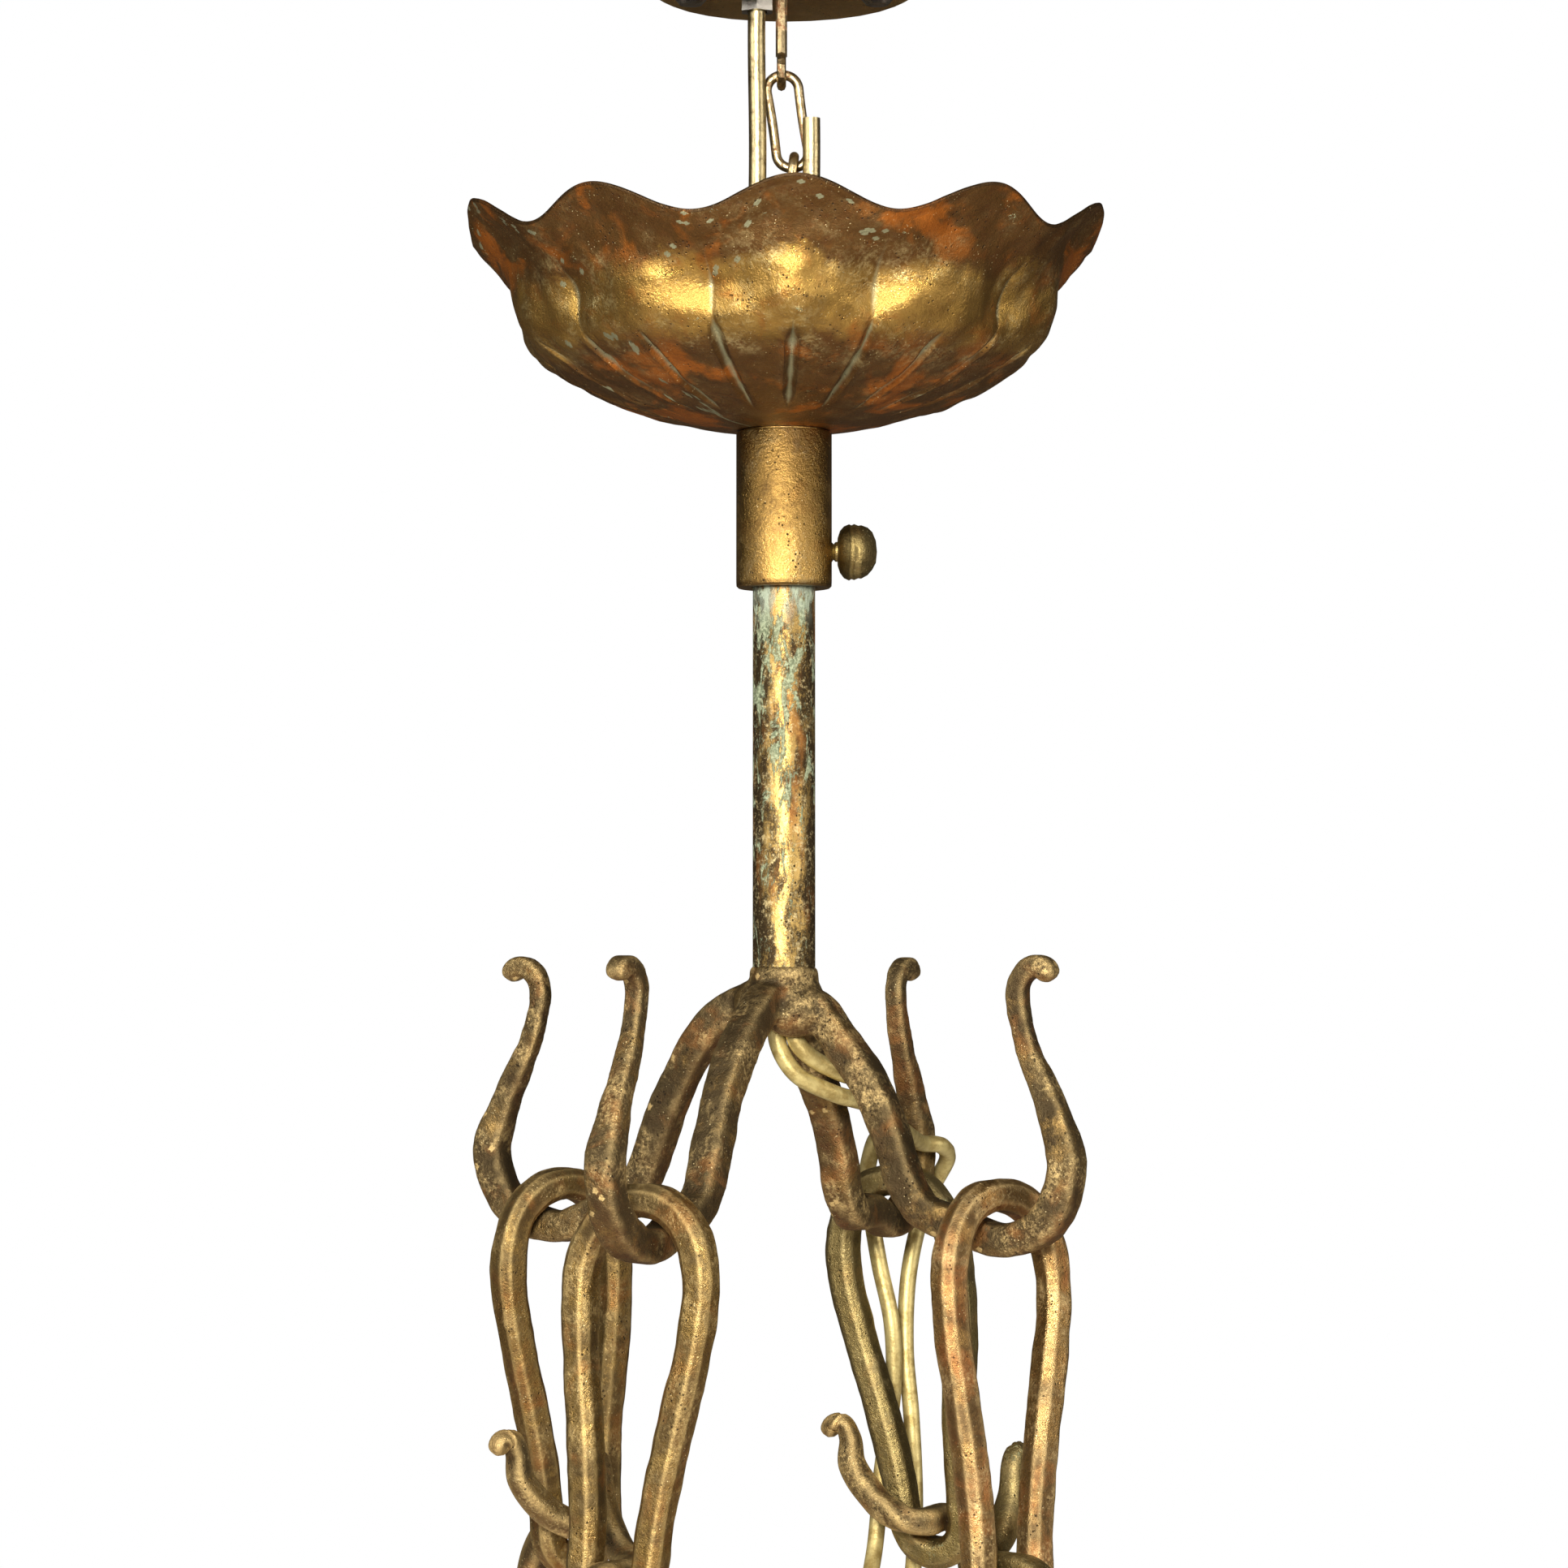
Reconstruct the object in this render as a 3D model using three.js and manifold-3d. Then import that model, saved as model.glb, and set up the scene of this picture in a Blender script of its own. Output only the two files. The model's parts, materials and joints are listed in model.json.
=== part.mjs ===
// A hanging chandelier in gilded wrought iron. A hooked rod under a ceiling plate carries a tube stem,
// a scalloped canopy bowl slides on the stem, and four forged hooks at its foot carry four long links.
// The links hold a lower frame of four curled bars with one lampholder.
// Millimetres, +Z up, X to the right, Y away from the front. The origin is on the ceiling.
import * as THREE from 'three';
import { mergeVertices } from 'three/addons/utils/BufferGeometryUtils.js';
import Module from 'manifold-3d';

const wasm = await Module();
wasm.setup();

// Gaps between pieces that touch
const seatGap = 0.3;
const slideGap = 0.3;

// Ceiling plate and its two screws
const plateRadius = 26;
const plateThickness = 3;
const plateScrewSpacing = 36;
const plateScrewRadius = 2;
const plateScrewHead = 3.6;

// Hooked rod that carries the lamp
const rodRadius = 1.75;
const rodHalfSpan = 5.2;
const rodBendDrop = 65;
const rodTipRise = 38;
const rodNutRadius = 3.4;
const rodNutHeight = 3;

// Ring on top of the stem
const ringRadius = 7;
const ringWire = 1.6;

// Safety chain behind the hooked rod
const chainPitch = 16.1;
const chainWire = 0.95;
const chainHalfWidth = 3.1;
const chainDepth = 3.1;
const chainX = -0.5;
const chainLeans = [0.147, -0.12, 0];
const chainEyeRadius = 2.9;
const chainEyeWire = 0.9;

// Stem tube
const stemRadius = 6;
const stemWall = 1.2;
const stemLength = 113;
const plugLength = 8;
const plugFlange = 1.4;

// Canopy bowl: its size, its scallops and its chiselled grooves
const bowlRadius = 62;
const bowlDepth = 39;
const bowlWall = 1.1;
const scallops = 10;
const scallopRise = 3.2;
const petalSwell = 1.5;
const grooves = 20;
const grooveDepth = 0.9;

// Collar, ring nut and set screw. The shoulder is measured down from the ceiling.
const shoulderDrop = 88;
const collarRadius = 9.2;
const collarLength = 30;
const spigotRadius = 7.8;
const spigotLength = 4.4;
const ringNutRadius = 11;
const ringNutHeight = 2.4;
const screwDrop = 23;
const screwRadius = 2;
const screwHeadRadius = 5.4;
const screwHeadLength = 7.6;

// Forged spider at the foot of the stem
const hubRadius = 8.2;
const hubHeight = 13;
const wireBore = 4.4;
const armHalf = 3.6;
const armBevel = 1.7;
const hookReach = 48;
const hookDrop = 50.6;
const hookMouth = 13.5;
const hookRise = 53;
// sag is how far the smith let each shoulder lie above or below the others.
const arms = [
  { name: 'left', azimuth: 152, size: 1.05, sag: 2 },
  { name: 'front', azimuth: 239, size: 1.0, sag: 0 },
  { name: 'right', azimuth: 332, size: 0.95, sag: -3 },
  { name: 'back', azimuth: 63, size: 0.96, sag: -8 },
];

// Long links: a wide round top, straight sides and a narrow round foot
const linkHalf = 3.05;
const linkBevel = 1.4;
const linkTopHalf = 13;
const linkTopDepth = 17;
const linkFootRadius = 6.9;
const linkLength = 74.45;

// Lower frame. Each tip was bent over by hand once its link was threaded on.
const lowerHalf = 2.6;
const lowerReach = 51;
const lowerHubDrop = 36;
const lowerHubRadius = 7.5;
const lowerHubHeight = 13;
const lowerBulge = 15.5;
const tipRise = 19.5;
const lowerBars = [
  { name: 'left', azimuth: 143.5, face: 39, tip: [-52.1, 12.2] },
  { name: 'front', azimuth: 233.5, face: -31, tip: [-34.5, -20] },
  { name: 'right', azimuth: 323.5, face: 39, tip: [43.3, -12.9] },
  { name: 'back', azimuth: 53.5, face: -31, tip: [12.6, 42] },
];

// Lampholder and bulb under the lower hub
const nippleRadius = 5.5;
const nippleBore = 4.1;
const cupRadius = 30;
const cupDepth = 13;
const cupWall = 1.1;
const holderRadius = 12;
const holderLength = 26;
const holderWall = 1.6;
const bulbCapRadius = 6.8;
const bulbCapLength = 17;
const bulbRadius = 20;
const bulbWall = 1;

// Lamp wires: a pair that hangs from the back hook
const wireRadius = 1.7;
const wireSides = 8;
const wireSteps = 72;
const wireApart = 1.78;

// Facets round a tube, a rod and a forged bar
const tubeFacets = 28;
const rodFacets = 10;

const gilt = new THREE.MeshStandardMaterial({ color: 0xa07a34, roughness: 0.42, metalness: 0.85 });
const bronze = new THREE.MeshStandardMaterial({ color: 0x6f5a38, roughness: 0.55, metalness: 0.75 });
const brass = new THREE.MeshStandardMaterial({ color: 0xc9b070, roughness: 0.35, metalness: 0.8 });
const steel = new THREE.MeshStandardMaterial({ color: 0x8d8a80, roughness: 0.45, metalness: 0.8 });
const sheath = new THREE.MeshStandardMaterial({ color: 0xc8b46a, roughness: 0.5, metalness: 0.1 });
const ceramic = new THREE.MeshStandardMaterial({ color: 0xe8e2d2, roughness: 0.5, metalness: 0 });
const glass = new THREE.MeshStandardMaterial({ color: 0xf3ead2, roughness: 0.15, metalness: 0 });

const chandelier = new THREE.Group();
const radians = THREE.MathUtils.degToRad;
const vector = (x, y, z) => new THREE.Vector3(x, y, z);
const outward = (azimuth) => vector(Math.cos(radians(azimuth)), Math.sin(radians(azimuth)), 0);

// Adds a named mesh to the chandelier, or to a group of it.
function add(name, geometry, material, parent = chandelier) {
  const mesh = new THREE.Mesh(geometry, material);
  mesh.name = name;
  parent.add(mesh);
  return mesh;
}

// A closed skin over rings of points; its faces are turned outwards at the end.
function skin(rings, loop) {
  const count = rings[0].length;
  const points = rings.flat();
  const index = [];
  const quad = (a, b, c, d) => index.push(a, b, c, a, c, d);
  const spans = loop ? rings.length : rings.length - 1;
  for (let i = 0; i < spans; i += 1) {
    const next = (i + 1) % rings.length;
    for (let j = 0; j < count; j += 1) {
      const k = (j + 1) % count;
      quad(i * count + j, next * count + j, next * count + k, i * count + k);
    }
  }
  if (!loop) {
    for (const [ring, start, flip] of [[rings[0], 0, false], [rings.at(-1), (rings.length - 1) * count, true]]) {
      const middle = points.length;
      points.push(ring.reduce((sum, p) => sum.add(p), vector(0, 0, 0)).divideScalar(count));
      for (let j = 0; j < count; j += 1) {
        const k = (j + 1) % count;
        index.push(middle, start + (flip ? k : j), start + (flip ? j : k));
      }
    }
  }
  let volume = 0;
  for (let i = 0; i < index.length; i += 3) {
    const [a, b, c] = [0, 1, 2].map((n) => points[index[i + n]]);
    volume += a.dot(vector(0, 0, 0).crossVectors(b, c));
  }
  if (volume < 0) index.reverse();
  const geometry = new THREE.BufferGeometry().setFromPoints(points);
  geometry.setIndex(index);
  geometry.computeVertexNormals();
  return geometry;
}

// An eight-cornered bar section: a square of half width h with its corners bevelled.
function bevelled(h, bevel) {
  const flat = h - bevel;
  return [[h, -flat], [h, flat], [flat, h], [-flat, h], [-h, flat], [-h, -flat], [-flat, -h], [flat, -h]];
}

// A regular section of the given radius.
function round(radius, sides) {
  return Array.from({ length: sides }, (_, i) => {
    const angle = (2 * Math.PI * (i + 0.5)) / sides;
    return [radius * Math.cos(angle), radius * Math.sin(angle)];
  });
}

// A bar swept along a curve. sectionAt(t) gives its section, and side is the way its first axis faces.
function bar(curve, steps, sectionAt, side, loop = false) {
  const rings = [];
  const count = loop ? steps : steps + 1;
  for (let i = 0; i < count; i += 1) {
    const t = i / steps;
    const centre = curve.getPointAt(t);
    const along = curve.getTangentAt(t);
    const first = side.clone().addScaledVector(along, -side.dot(along)).normalize();
    const second = vector(0, 0, 0).crossVectors(along, first);
    rings.push(sectionAt(t).map(([u, v]) => centre.clone().addScaledVector(first, u).addScaledVector(second, v)));
  }
  return skin(rings, loop);
}

const spline = (points, loop = false) => new THREE.CatmullRomCurve3(points, loop, 'centripetal');

function toSolid(geometry) {
  const bare = geometry.clone();
  bare.deleteAttribute('normal');
  bare.deleteAttribute('uv');
  const merged = mergeVertices(bare, 1e-4);
  return new wasm.Manifold(new wasm.Mesh({
    numProp: 3,
    vertProperties: merged.attributes.position.array,
    triVerts: new Uint32Array(merged.index.array),
  }));
}

function toGeometry(solid) {
  const mesh = solid.getMesh();
  const geometry = new THREE.BufferGeometry();
  geometry.setAttribute('position', new THREE.BufferAttribute(new Float32Array(mesh.vertProperties), 3));
  geometry.setIndex(new THREE.BufferAttribute(new Uint32Array(mesh.triVerts), 1));
  geometry.computeVertexNormals();
  return geometry;
}

// A turned piece about +Z from [radius, height] points that close on themselves or on the axis.
function turned(profile, facets = tubeFacets) {
  const points = profile.map(([r, z]) => new THREE.Vector2(r, z));
  if (THREE.ShapeUtils.area(points) < 0) points.reverse();
  const geometry = new THREE.LatheGeometry(points, facets);
  geometry.rotateX(Math.PI / 2);
  return geometry;
}

// A straight tube about +Z between two heights.
function tube(inner, outer, low, high, facets = tubeFacets) {
  return turned([[inner, low], [outer, low], [outer, high], [inner, high], [inner, low]], facets);
}

// The radius of a faceted bore whose flats clear a shaft of the given radius.
const bore = (radius, facets) => radius / Math.cos(Math.PI / facets);

function disc(radius, low, high, facets = tubeFacets) {
  return turned([[0, low], [radius, low], [radius, high], [0, high]], facets);
}

// Ceiling plate, with holes for its screws and for the rod
const plateTop = 0;
const plateFace = plateTop - plateThickness;
const plateHole = (x, y, radius) => {
  const cutter = disc(radius, plateFace - 1, plateTop + 1, rodFacets + 2);
  return toSolid(cutter.translate(x, y, 0));
};
const plateBlank = toSolid(turned([
  [0, plateFace],
  [plateRadius - 2, plateFace],
  [plateRadius, plateFace + 1],
  [plateRadius, plateTop],
  [0, plateTop],
]));
const screwPlaces = [-plateScrewSpacing / 2, plateScrewSpacing / 2];
const drilled = [
  ...screwPlaces.map((x) => plateHole(x, 0, plateScrewRadius + seatGap)),
  plateHole(-rodHalfSpan, 0, rodRadius + seatGap),
].reduce((plate, hole) => plate.subtract(hole), plateBlank);
add('ceiling_plate', toGeometry(drilled), bronze);
screwPlaces.forEach((x, i) => {
  const head = turned([
    [0, plateFace - seatGap - 1.9],
    [plateScrewHead * 0.6, plateFace - seatGap - 1.6],
    [plateScrewHead, plateFace - seatGap],
    [plateScrewRadius, plateFace - seatGap],
    [plateScrewRadius, plateTop - seatGap],
    [0, plateTop - seatGap],
  ], 16);
  add(`plate_screw_${i + 1}`, head.translate(x, 0, 0), steel);
});

// Hooked rod: down on the left, round under the stem ring, and up again on the right
const bendHeight = -rodBendDrop;
const bendCentre = bendHeight + rodHalfSpan;
const rodPath = new THREE.CurvePath();
rodPath.add(new THREE.LineCurve3(vector(-rodHalfSpan, 0, plateTop - seatGap), vector(-rodHalfSpan, 0, bendCentre)));
const bendQuarter = rodHalfSpan * 1.33;
rodPath.add(new THREE.CubicBezierCurve3(
  vector(-rodHalfSpan, 0, bendCentre),
  vector(-rodHalfSpan, 0, bendCentre - bendQuarter),
  vector(rodHalfSpan, 0, bendCentre - bendQuarter),
  vector(rodHalfSpan, 0, bendCentre),
));
rodPath.add(new THREE.LineCurve3(
  vector(rodHalfSpan, 0, bendCentre),
  vector(rodHalfSpan, 0, bendHeight + rodTipRise),
));
const rodSection = round(rodRadius, rodFacets);
add('suspension_hook', bar(rodPath, 20, () => rodSection, vector(0, 1, 0)), gilt);
const nutTop = plateFace - seatGap;
const nut = tube(bore(rodRadius + 0.15, 6), rodNutRadius, nutTop - rodNutHeight, nutTop, 6);
add('hook_nut', nut.translate(-rodHalfSpan, 0, 0), steel);

// Stem ring on its plug: the rod's bend lies in the top of the ring
const ringInner = ringRadius - ringWire;
const ringHeight = bendHeight - (ringInner - seatGap * 1.5 - rodRadius);
const stemTop = ringHeight - ringRadius - ringWire - plugFlange + 0.4;
const ringShape = new THREE.TorusGeometry(ringRadius, ringWire, 8, 18).rotateY(Math.PI / 2);
const ringSolid = toSolid(ringShape.translate(0, 0, ringHeight));
const plugRadius = stemRadius - stemWall - seatGap / 2;
const plug = toSolid(turned([
  [0, stemTop - plugLength],
  [plugRadius, stemTop - plugLength],
  [plugRadius, stemTop + seatGap],
  [stemRadius, stemTop + seatGap],
  [stemRadius, stemTop + plugFlange],
  [ringWire * 1.6, stemTop + plugFlange + 1.4],
  [0, stemTop + plugFlange + 1.4],
]));
add('stem_ring', toGeometry(ringSolid.add(plug)), bronze);

// Stem tube, with a wire inlet hole at the back under the plug
const stemFoot = stemTop - stemLength;
const inletHeight = stemTop - plugLength - wireRadius * 2.4;
const inlet = new THREE.CylinderGeometry(wireRadius * 1.5, wireRadius * 1.5, stemRadius * 2, 10);
const stemTube = toSolid(tube(stemRadius - stemWall, stemRadius, stemFoot, stemTop));
const stemSolid = stemTube.subtract(toSolid(inlet.translate(0, stemRadius, inletHeight)));
add('stem', toGeometry(stemSolid), gilt);

// Safety chain: oval links, each turned a quarter turn from the one above. The last one passes
// through the stem ring behind the rod, and the first hangs in an eye on a long shank.
const chainSeat = chainWire + seatGap / 2;
const ovalLink = () => {
  const reach = chainPitch / 2 + chainSeat - chainHalfWidth;
  const side = new THREE.Path();
  side.moveTo(chainHalfWidth, -reach);
  side.lineTo(chainHalfWidth, reach);
  side.absarc(0, reach, chainHalfWidth, 0, Math.PI, false);
  side.lineTo(-chainHalfWidth, -reach);
  side.absarc(0, -reach, chainHalfWidth, Math.PI, 2 * Math.PI, false);
  const points = side.getSpacedPoints(16).slice(0, -1).map((p) => vector(p.x, 0, p.y));
  const section = round(chainWire, 7);
  return bar(spline(points, true), 16, () => section, vector(0, 1, 0), true);
};
const chainDrop = chainLeans.reduce((sum, lean) => sum + chainPitch * Math.cos(lean), 0);
const chainTop = ringHeight + chainSeat + chainDrop;
const chainEyeHeight = chainTop - chainEyeWire - seatGap / 2 + chainEyeRadius;
const eyeRing = new THREE.TorusGeometry(chainEyeRadius, chainEyeWire, 8, 18).rotateY(Math.PI / 2);
const eyeShank = disc(chainEyeWire * 1.3, chainEyeHeight + chainEyeRadius, plateFace - seatGap, 10);
const eyeSolid = toSolid(eyeRing.translate(0, 0, chainEyeHeight)).add(toSolid(eyeShank));
add('chain_eye', toGeometry(eyeSolid).translate(chainX, chainDepth, 0), brass);
const linkTop = vector(chainX, chainDepth, chainTop);
chainLeans.forEach((lean, i) => {
  const link = new THREE.Group();
  link.position.copy(linkTop);
  link.rotation.y = -lean;
  const mesh = add(`chain_link_${i + 1}`, ovalLink(), brass, link);
  mesh.position.z = -chainPitch / 2;
  mesh.rotation.z = i % 2 === 0 ? 0 : Math.PI / 2;
  chandelier.add(link);
  linkTop.add(vector(Math.sin(lean), 0, -Math.cos(lean)).multiplyScalar(chainPitch));
});

// Canopy bowl: a hammered shell whose rim rises and flares into scallops
const shoulder = -shoulderDrop;
const bowlHole = spigotRadius + seatGap;
const bowlProfile = new THREE.SplineCurve([
  [bowlHole / bowlRadius, 0],
  [0.3, 0.035],
  [0.52, 0.13],
  [0.7, 0.27],
  [0.82, 0.42],
  [0.855, 0.56],
  [0.872, 0.7],
  [0.91, 0.83],
  [0.968, 0.93],
  [1, 1],
].map(([r, z]) => new THREE.Vector2(r * bowlRadius, z * bowlDepth)));
const bowlRows = 12;
const bowlSectors = grooves * 3;
const bowlSide = 2;
// The outer skin at a share v of the profile and an angle.
function bowlPoint(v, angle) {
  const p = bowlProfile.getPoint(v);
  const height = p.y / bowlDepth;
  const wave = Math.cos(scallops * angle);
  const rim = THREE.MathUtils.smoothstep(height, 0.5, 1);
  const belly = Math.max(0, Math.sin(Math.PI * THREE.MathUtils.clamp((height - 0.3) / 0.6, 0, 1)));
  const petal = belly * petalSwell * (Math.abs(Math.cos((scallops * angle) / 2)) - 0.6);
  const flare = rim * rim * scallopRise * 0.45 * wave;
  const channel = THREE.MathUtils.smoothstep(v, 0.12, 0.2) * (1 - THREE.MathUtils.smoothstep(v, 0.34, 0.42));
  const inGroove = Math.abs(Math.sin((grooves * angle) / 2)) < 0.1 ? 1 : 0;
  const radius = p.x + petal + flare - channel * inGroove * grooveDepth * 0.6;
  const z = p.y + rim * scallopRise * wave + channel * inGroove * grooveDepth * 0.8;
  return vector(radius * Math.cos(angle), radius * Math.sin(angle), z);
}
// A shell of the given wall under a skin given by rows and sectors.
function shell(pointAt, rows, sectors, wall, sign) {
  const rings = [];
  for (let s = 0; s < sectors; s += 1) {
    const angle = (2 * Math.PI * s) / sectors;
    const outer = [];
    const inner = [];
    for (let i = 0; i <= rows; i += 1) {
      const v = i / rows;
      const p = pointAt(v, angle);
      const ahead = pointAt(Math.min(1, v + 0.01), angle);
      const behind = pointAt(Math.max(0, v - 0.01), angle);
      const along = ahead.sub(behind).normalize();
      const sideways = vector(-Math.sin(angle), Math.cos(angle), 0);
      const inward = vector(0, 0, 0).crossVectors(along, sideways).normalize().multiplyScalar(sign * wall);
      outer.push(p);
      inner.push(p.clone().add(inward));
    }
    rings.push([...outer, ...inner.reverse()]);
  }
  return skin(rings, true);
}
const bowl = add('canopy', shell(bowlPoint, bowlRows, bowlSectors, bowlWall, 1), gilt);
bowl.position.z = shoulder + seatGap;
bowl.rotation.z = radians(-90 + bowlSide);

// Collar with its spigot through the bowl, the ring nut, and the set screw on the right
const collarBore = stemRadius + slideGap;
const collarFoot = shoulder - collarLength;
const spigotTop = shoulder + spigotLength + bowlWall;
const collarTube = toSolid(turned([
  [collarBore, collarFoot],
  [collarRadius, collarFoot],
  [collarRadius, shoulder],
  [spigotRadius, shoulder],
  [spigotRadius, spigotTop],
  [collarBore, spigotTop],
  [collarBore, collarFoot],
]));
const screwHeight = shoulder - screwDrop;
const screwHole = new THREE.CylinderGeometry(screwRadius + seatGap, screwRadius + seatGap, collarRadius * 2, 12);
const screwHoleSolid = toSolid(screwHole.rotateZ(Math.PI / 2).translate(collarRadius, 0, screwHeight));
add('canopy_collar', toGeometry(collarTube.subtract(screwHoleSolid)), gilt);
const ringNutFoot = shoulder + seatGap * 2 + bowlWall * 1.3;
const ringNut = tube(bore(spigotRadius + 0.15, 12), ringNutRadius, ringNutFoot, ringNutFoot + ringNutHeight, 12);
add('canopy_ring_nut', ringNut, brass);
// Set screw profile along its own axis: a tip, a shank with shallow threads, and a ridged round head
const screwTip = stemRadius + seatGap;
const headStart = collarRadius + 1.1;
const threads = Array.from({ length: 5 }, (_, i) => {
  const place = screwTip + 0.6 + (i * (headStart - screwTip - 0.8)) / 5;
  return [[screwRadius * 0.82, place], [screwRadius, place + 0.3]];
}).flat();
const headPoint = (share, along) => [screwHeadRadius * share, headStart + screwHeadLength * along];
const screwProfile = [
  [0, screwTip],
  [screwRadius * 0.7, screwTip],
  ...threads,
  [screwRadius, headStart],
  headPoint(0.8, 0.04),
  headPoint(1, 0.2),
  headPoint(0.93, 0.32),
  headPoint(1, 0.42),
  headPoint(0.93, 0.54),
  headPoint(0.97, 0.64),
  headPoint(0.75, 0.86),
  headPoint(0.4, 0.98),
  headPoint(0, 1),
];
const setScrew = turned(screwProfile, 14).rotateY(Math.PI / 2).translate(0, 0, screwHeight);
add('set_screw', setScrew, gilt);

// Spider hub: the lump of weld round the foot of the stem
const hubTop = stemFoot - seatGap;
const hubFoot = hubTop - hubHeight;
const hubLump = toSolid(turned([
  [wireBore, hubTop - 0.4],
  [stemRadius + 0.6, hubTop],
  [hubRadius, hubTop - hubHeight * 0.35],
  [hubRadius, hubTop - hubHeight * 0.7],
  [hubRadius - 2, hubFoot],
  [wireBore, hubFoot],
  [wireBore, hubTop - 0.4],
], 20));
add('spider_hub', toGeometry(hubLump), bronze);

// A forged arm in its own upright plane: out of the hub, down, round the hook and up to its curl.
// Each point is its distance from the axis and its height over the hub's foot.
function armCurve(arm) {
  const direction = outward(arm.azimuth);
  const at = (r, z) => direction.clone().multiplyScalar(r).add(vector(0, 0, hubFoot + z));
  const reach = hookReach * arm.size;
  const mouth = hookMouth * arm.size;
  const bend = -hookDrop + hubHeight;
  const tip = bend + hookRise;
  const start = hubRadius + seatGap + 0.7;
  return spline([
    at(start, hubHeight * 0.5 + arm.sag / 3),
    at(start + 1.6, hubHeight * 0.47 + arm.sag / 3),
    at(reach * 0.27, 2 + arm.sag),
    at(reach * 0.39, -5 + arm.sag),
    at(reach * 0.49, -14 + arm.sag),
    at(reach * 0.56, -23 + arm.sag),
    at(reach * 0.65, -31 + arm.sag / 2),
    at(reach - mouth * 0.62, bend + mouth * 0.2),
    at(reach, bend),
    at(reach + mouth * 0.72, bend + mouth * 0.25),
    at(reach + mouth * 1.06, bend + mouth * 1.0),
    at(reach + mouth * 0.86, bend + hookRise * 0.45),
    at(reach + mouth * 0.42, bend + hookRise * 0.7),
    at(reach + mouth * 0.3, tip - 5.4),
    at(reach + mouth * 0.36 + 2, tip - 2.2),
    at(reach + mouth * 0.36 + 4.6, tip - 2.4),
    at(reach + mouth * 0.36 + 5.4, tip - 5),
  ]);
}
// The bar is full to past the bend, then drawn down to the curl.
function armSection(t) {
  const drawn = THREE.MathUtils.smoothstep(t, 0.62, 0.88);
  const half = armHalf * (1 - 0.42 * drawn);
  return bevelled(half, armBevel * (half / armHalf));
}
for (const arm of arms) {
  const across = outward(arm.azimuth + 90);
  add(`hook_arm_${arm.name}`, bar(armCurve(arm), 25, armSection, across), bronze);
}

// Long links between the hooks and the lower bars. The foot's round centre holds the lower bar.
const saddle = 1.45;
const linkTopHeight = hubFoot + hubHeight - hookDrop + armHalf + seatGap + saddle + linkHalf;
const lowerSeat = linkTopHeight - linkLength + linkFootRadius;
function linkOutline(length) {
  const outline = new THREE.Path();
  const waist = -linkTopDepth;
  const foot = -length + linkFootRadius;
  outline.moveTo(0, 0);
  outline.bezierCurveTo(linkTopHalf * 0.62, 0, linkTopHalf, waist * 0.42, linkTopHalf, waist);
  outline.bezierCurveTo(linkTopHalf, waist * 1.75, linkFootRadius, foot * 0.72, linkFootRadius, foot);
  outline.absarc(0, foot, linkFootRadius, 0, -Math.PI, true);
  outline.bezierCurveTo(-linkFootRadius, foot * 0.72, -linkTopHalf, waist * 1.75, -linkTopHalf, waist);
  outline.bezierCurveTo(-linkTopHalf, waist * 0.42, -linkTopHalf * 0.62, 0, 0, 0);
  return outline.getSpacedPoints(32).slice(0, -1).map((p) => vector(p.x, 0, p.y));
}
arms.forEach((arm, i) => {
  const lower = lowerBars[i];
  const top = outward(arm.azimuth).multiplyScalar(hookReach * arm.size).setZ(linkTopHeight);
  const seat = outward(lower.azimuth).multiplyScalar(lowerReach).setZ(lowerSeat);
  const down = seat.clone().sub(top);
  const length = down.length() + linkFootRadius;
  const upward = down.negate().normalize();
  const plane = outward(lower.face);
  const across = plane.addScaledVector(upward, -plane.dot(upward)).normalize();
  const facing = vector(0, 0, 0).crossVectors(upward, across);
  const section = bevelled(linkHalf, linkBevel);
  const shape = bar(spline(linkOutline(length), true), 28, () => section, vector(0, 1, 0), true);
  const link = add(`hanger_link_${arm.name}`, shape, gilt);
  link.quaternion.setFromRotationMatrix(new THREE.Matrix4().makeBasis(across, facing, upward));
  link.position.copy(top);
});

// Lower bars: from the lower hub out under the link, over its foot from outside, and up to the curl
const lowerHubMiddle = lowerSeat - lowerHubDrop;
function lowerCurve(lower) {
  const out = outward(lower.azimuth);
  const seat = out.clone().multiplyScalar(lowerReach).setZ(lowerSeat);
  let through = outward(lower.face + 90);
  if (through.dot(out) > 0) through = through.negate();
  const at = (r, z) => out.clone().multiplyScalar(r).setZ(lowerSeat + z);
  const along = (s, z) => seat.clone().addScaledVector(through, s).add(vector(0, 0, z));
  const target = vector(lower.tip[0], lower.tip[1], lowerSeat + tipRise);
  const leave = along(linkHalf + 4.4, -0.4);
  const toTip = target.clone().sub(leave).setZ(0);
  const reach = toTip.length();
  toTip.normalize();
  const rising = (share, z) => leave.clone().addScaledVector(toTip, share * reach).setZ(lowerSeat + z);
  const curl = toTip.clone();
  const tipPoint = (s, z) => target.clone().addScaledVector(curl, s).setZ(lowerSeat + z);
  return spline([
    at(lowerHubRadius + seatGap + 0.15, -lowerHubDrop),
    at(lowerReach * 0.45, -lowerHubDrop - 2),
    at(lowerReach * 0.86, -lowerHubDrop * 0.93),
    at(lowerReach + lowerBulge * 0.8, -lowerHubDrop * 0.64),
    along(-lowerBulge * 0.98, -lowerHubDrop * 0.3),
    along(-lowerBulge * 0.74, -4),
    along(-linkHalf - 3, -0.3),
    along(0, 0),
    along(linkHalf + 1.6, -0.1),
    rising(0.22, 0.6),
    rising(0.6, 4.2),
    rising(0.92, tipRise * 0.55),
    tipPoint(-0.6, tipRise - 3.4),
    tipPoint(0.8, tipRise - 0.9),
    tipPoint(3.2, tipRise - 1.1),
    tipPoint(4.2, tipRise - 3.6),
  ]);
}
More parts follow.
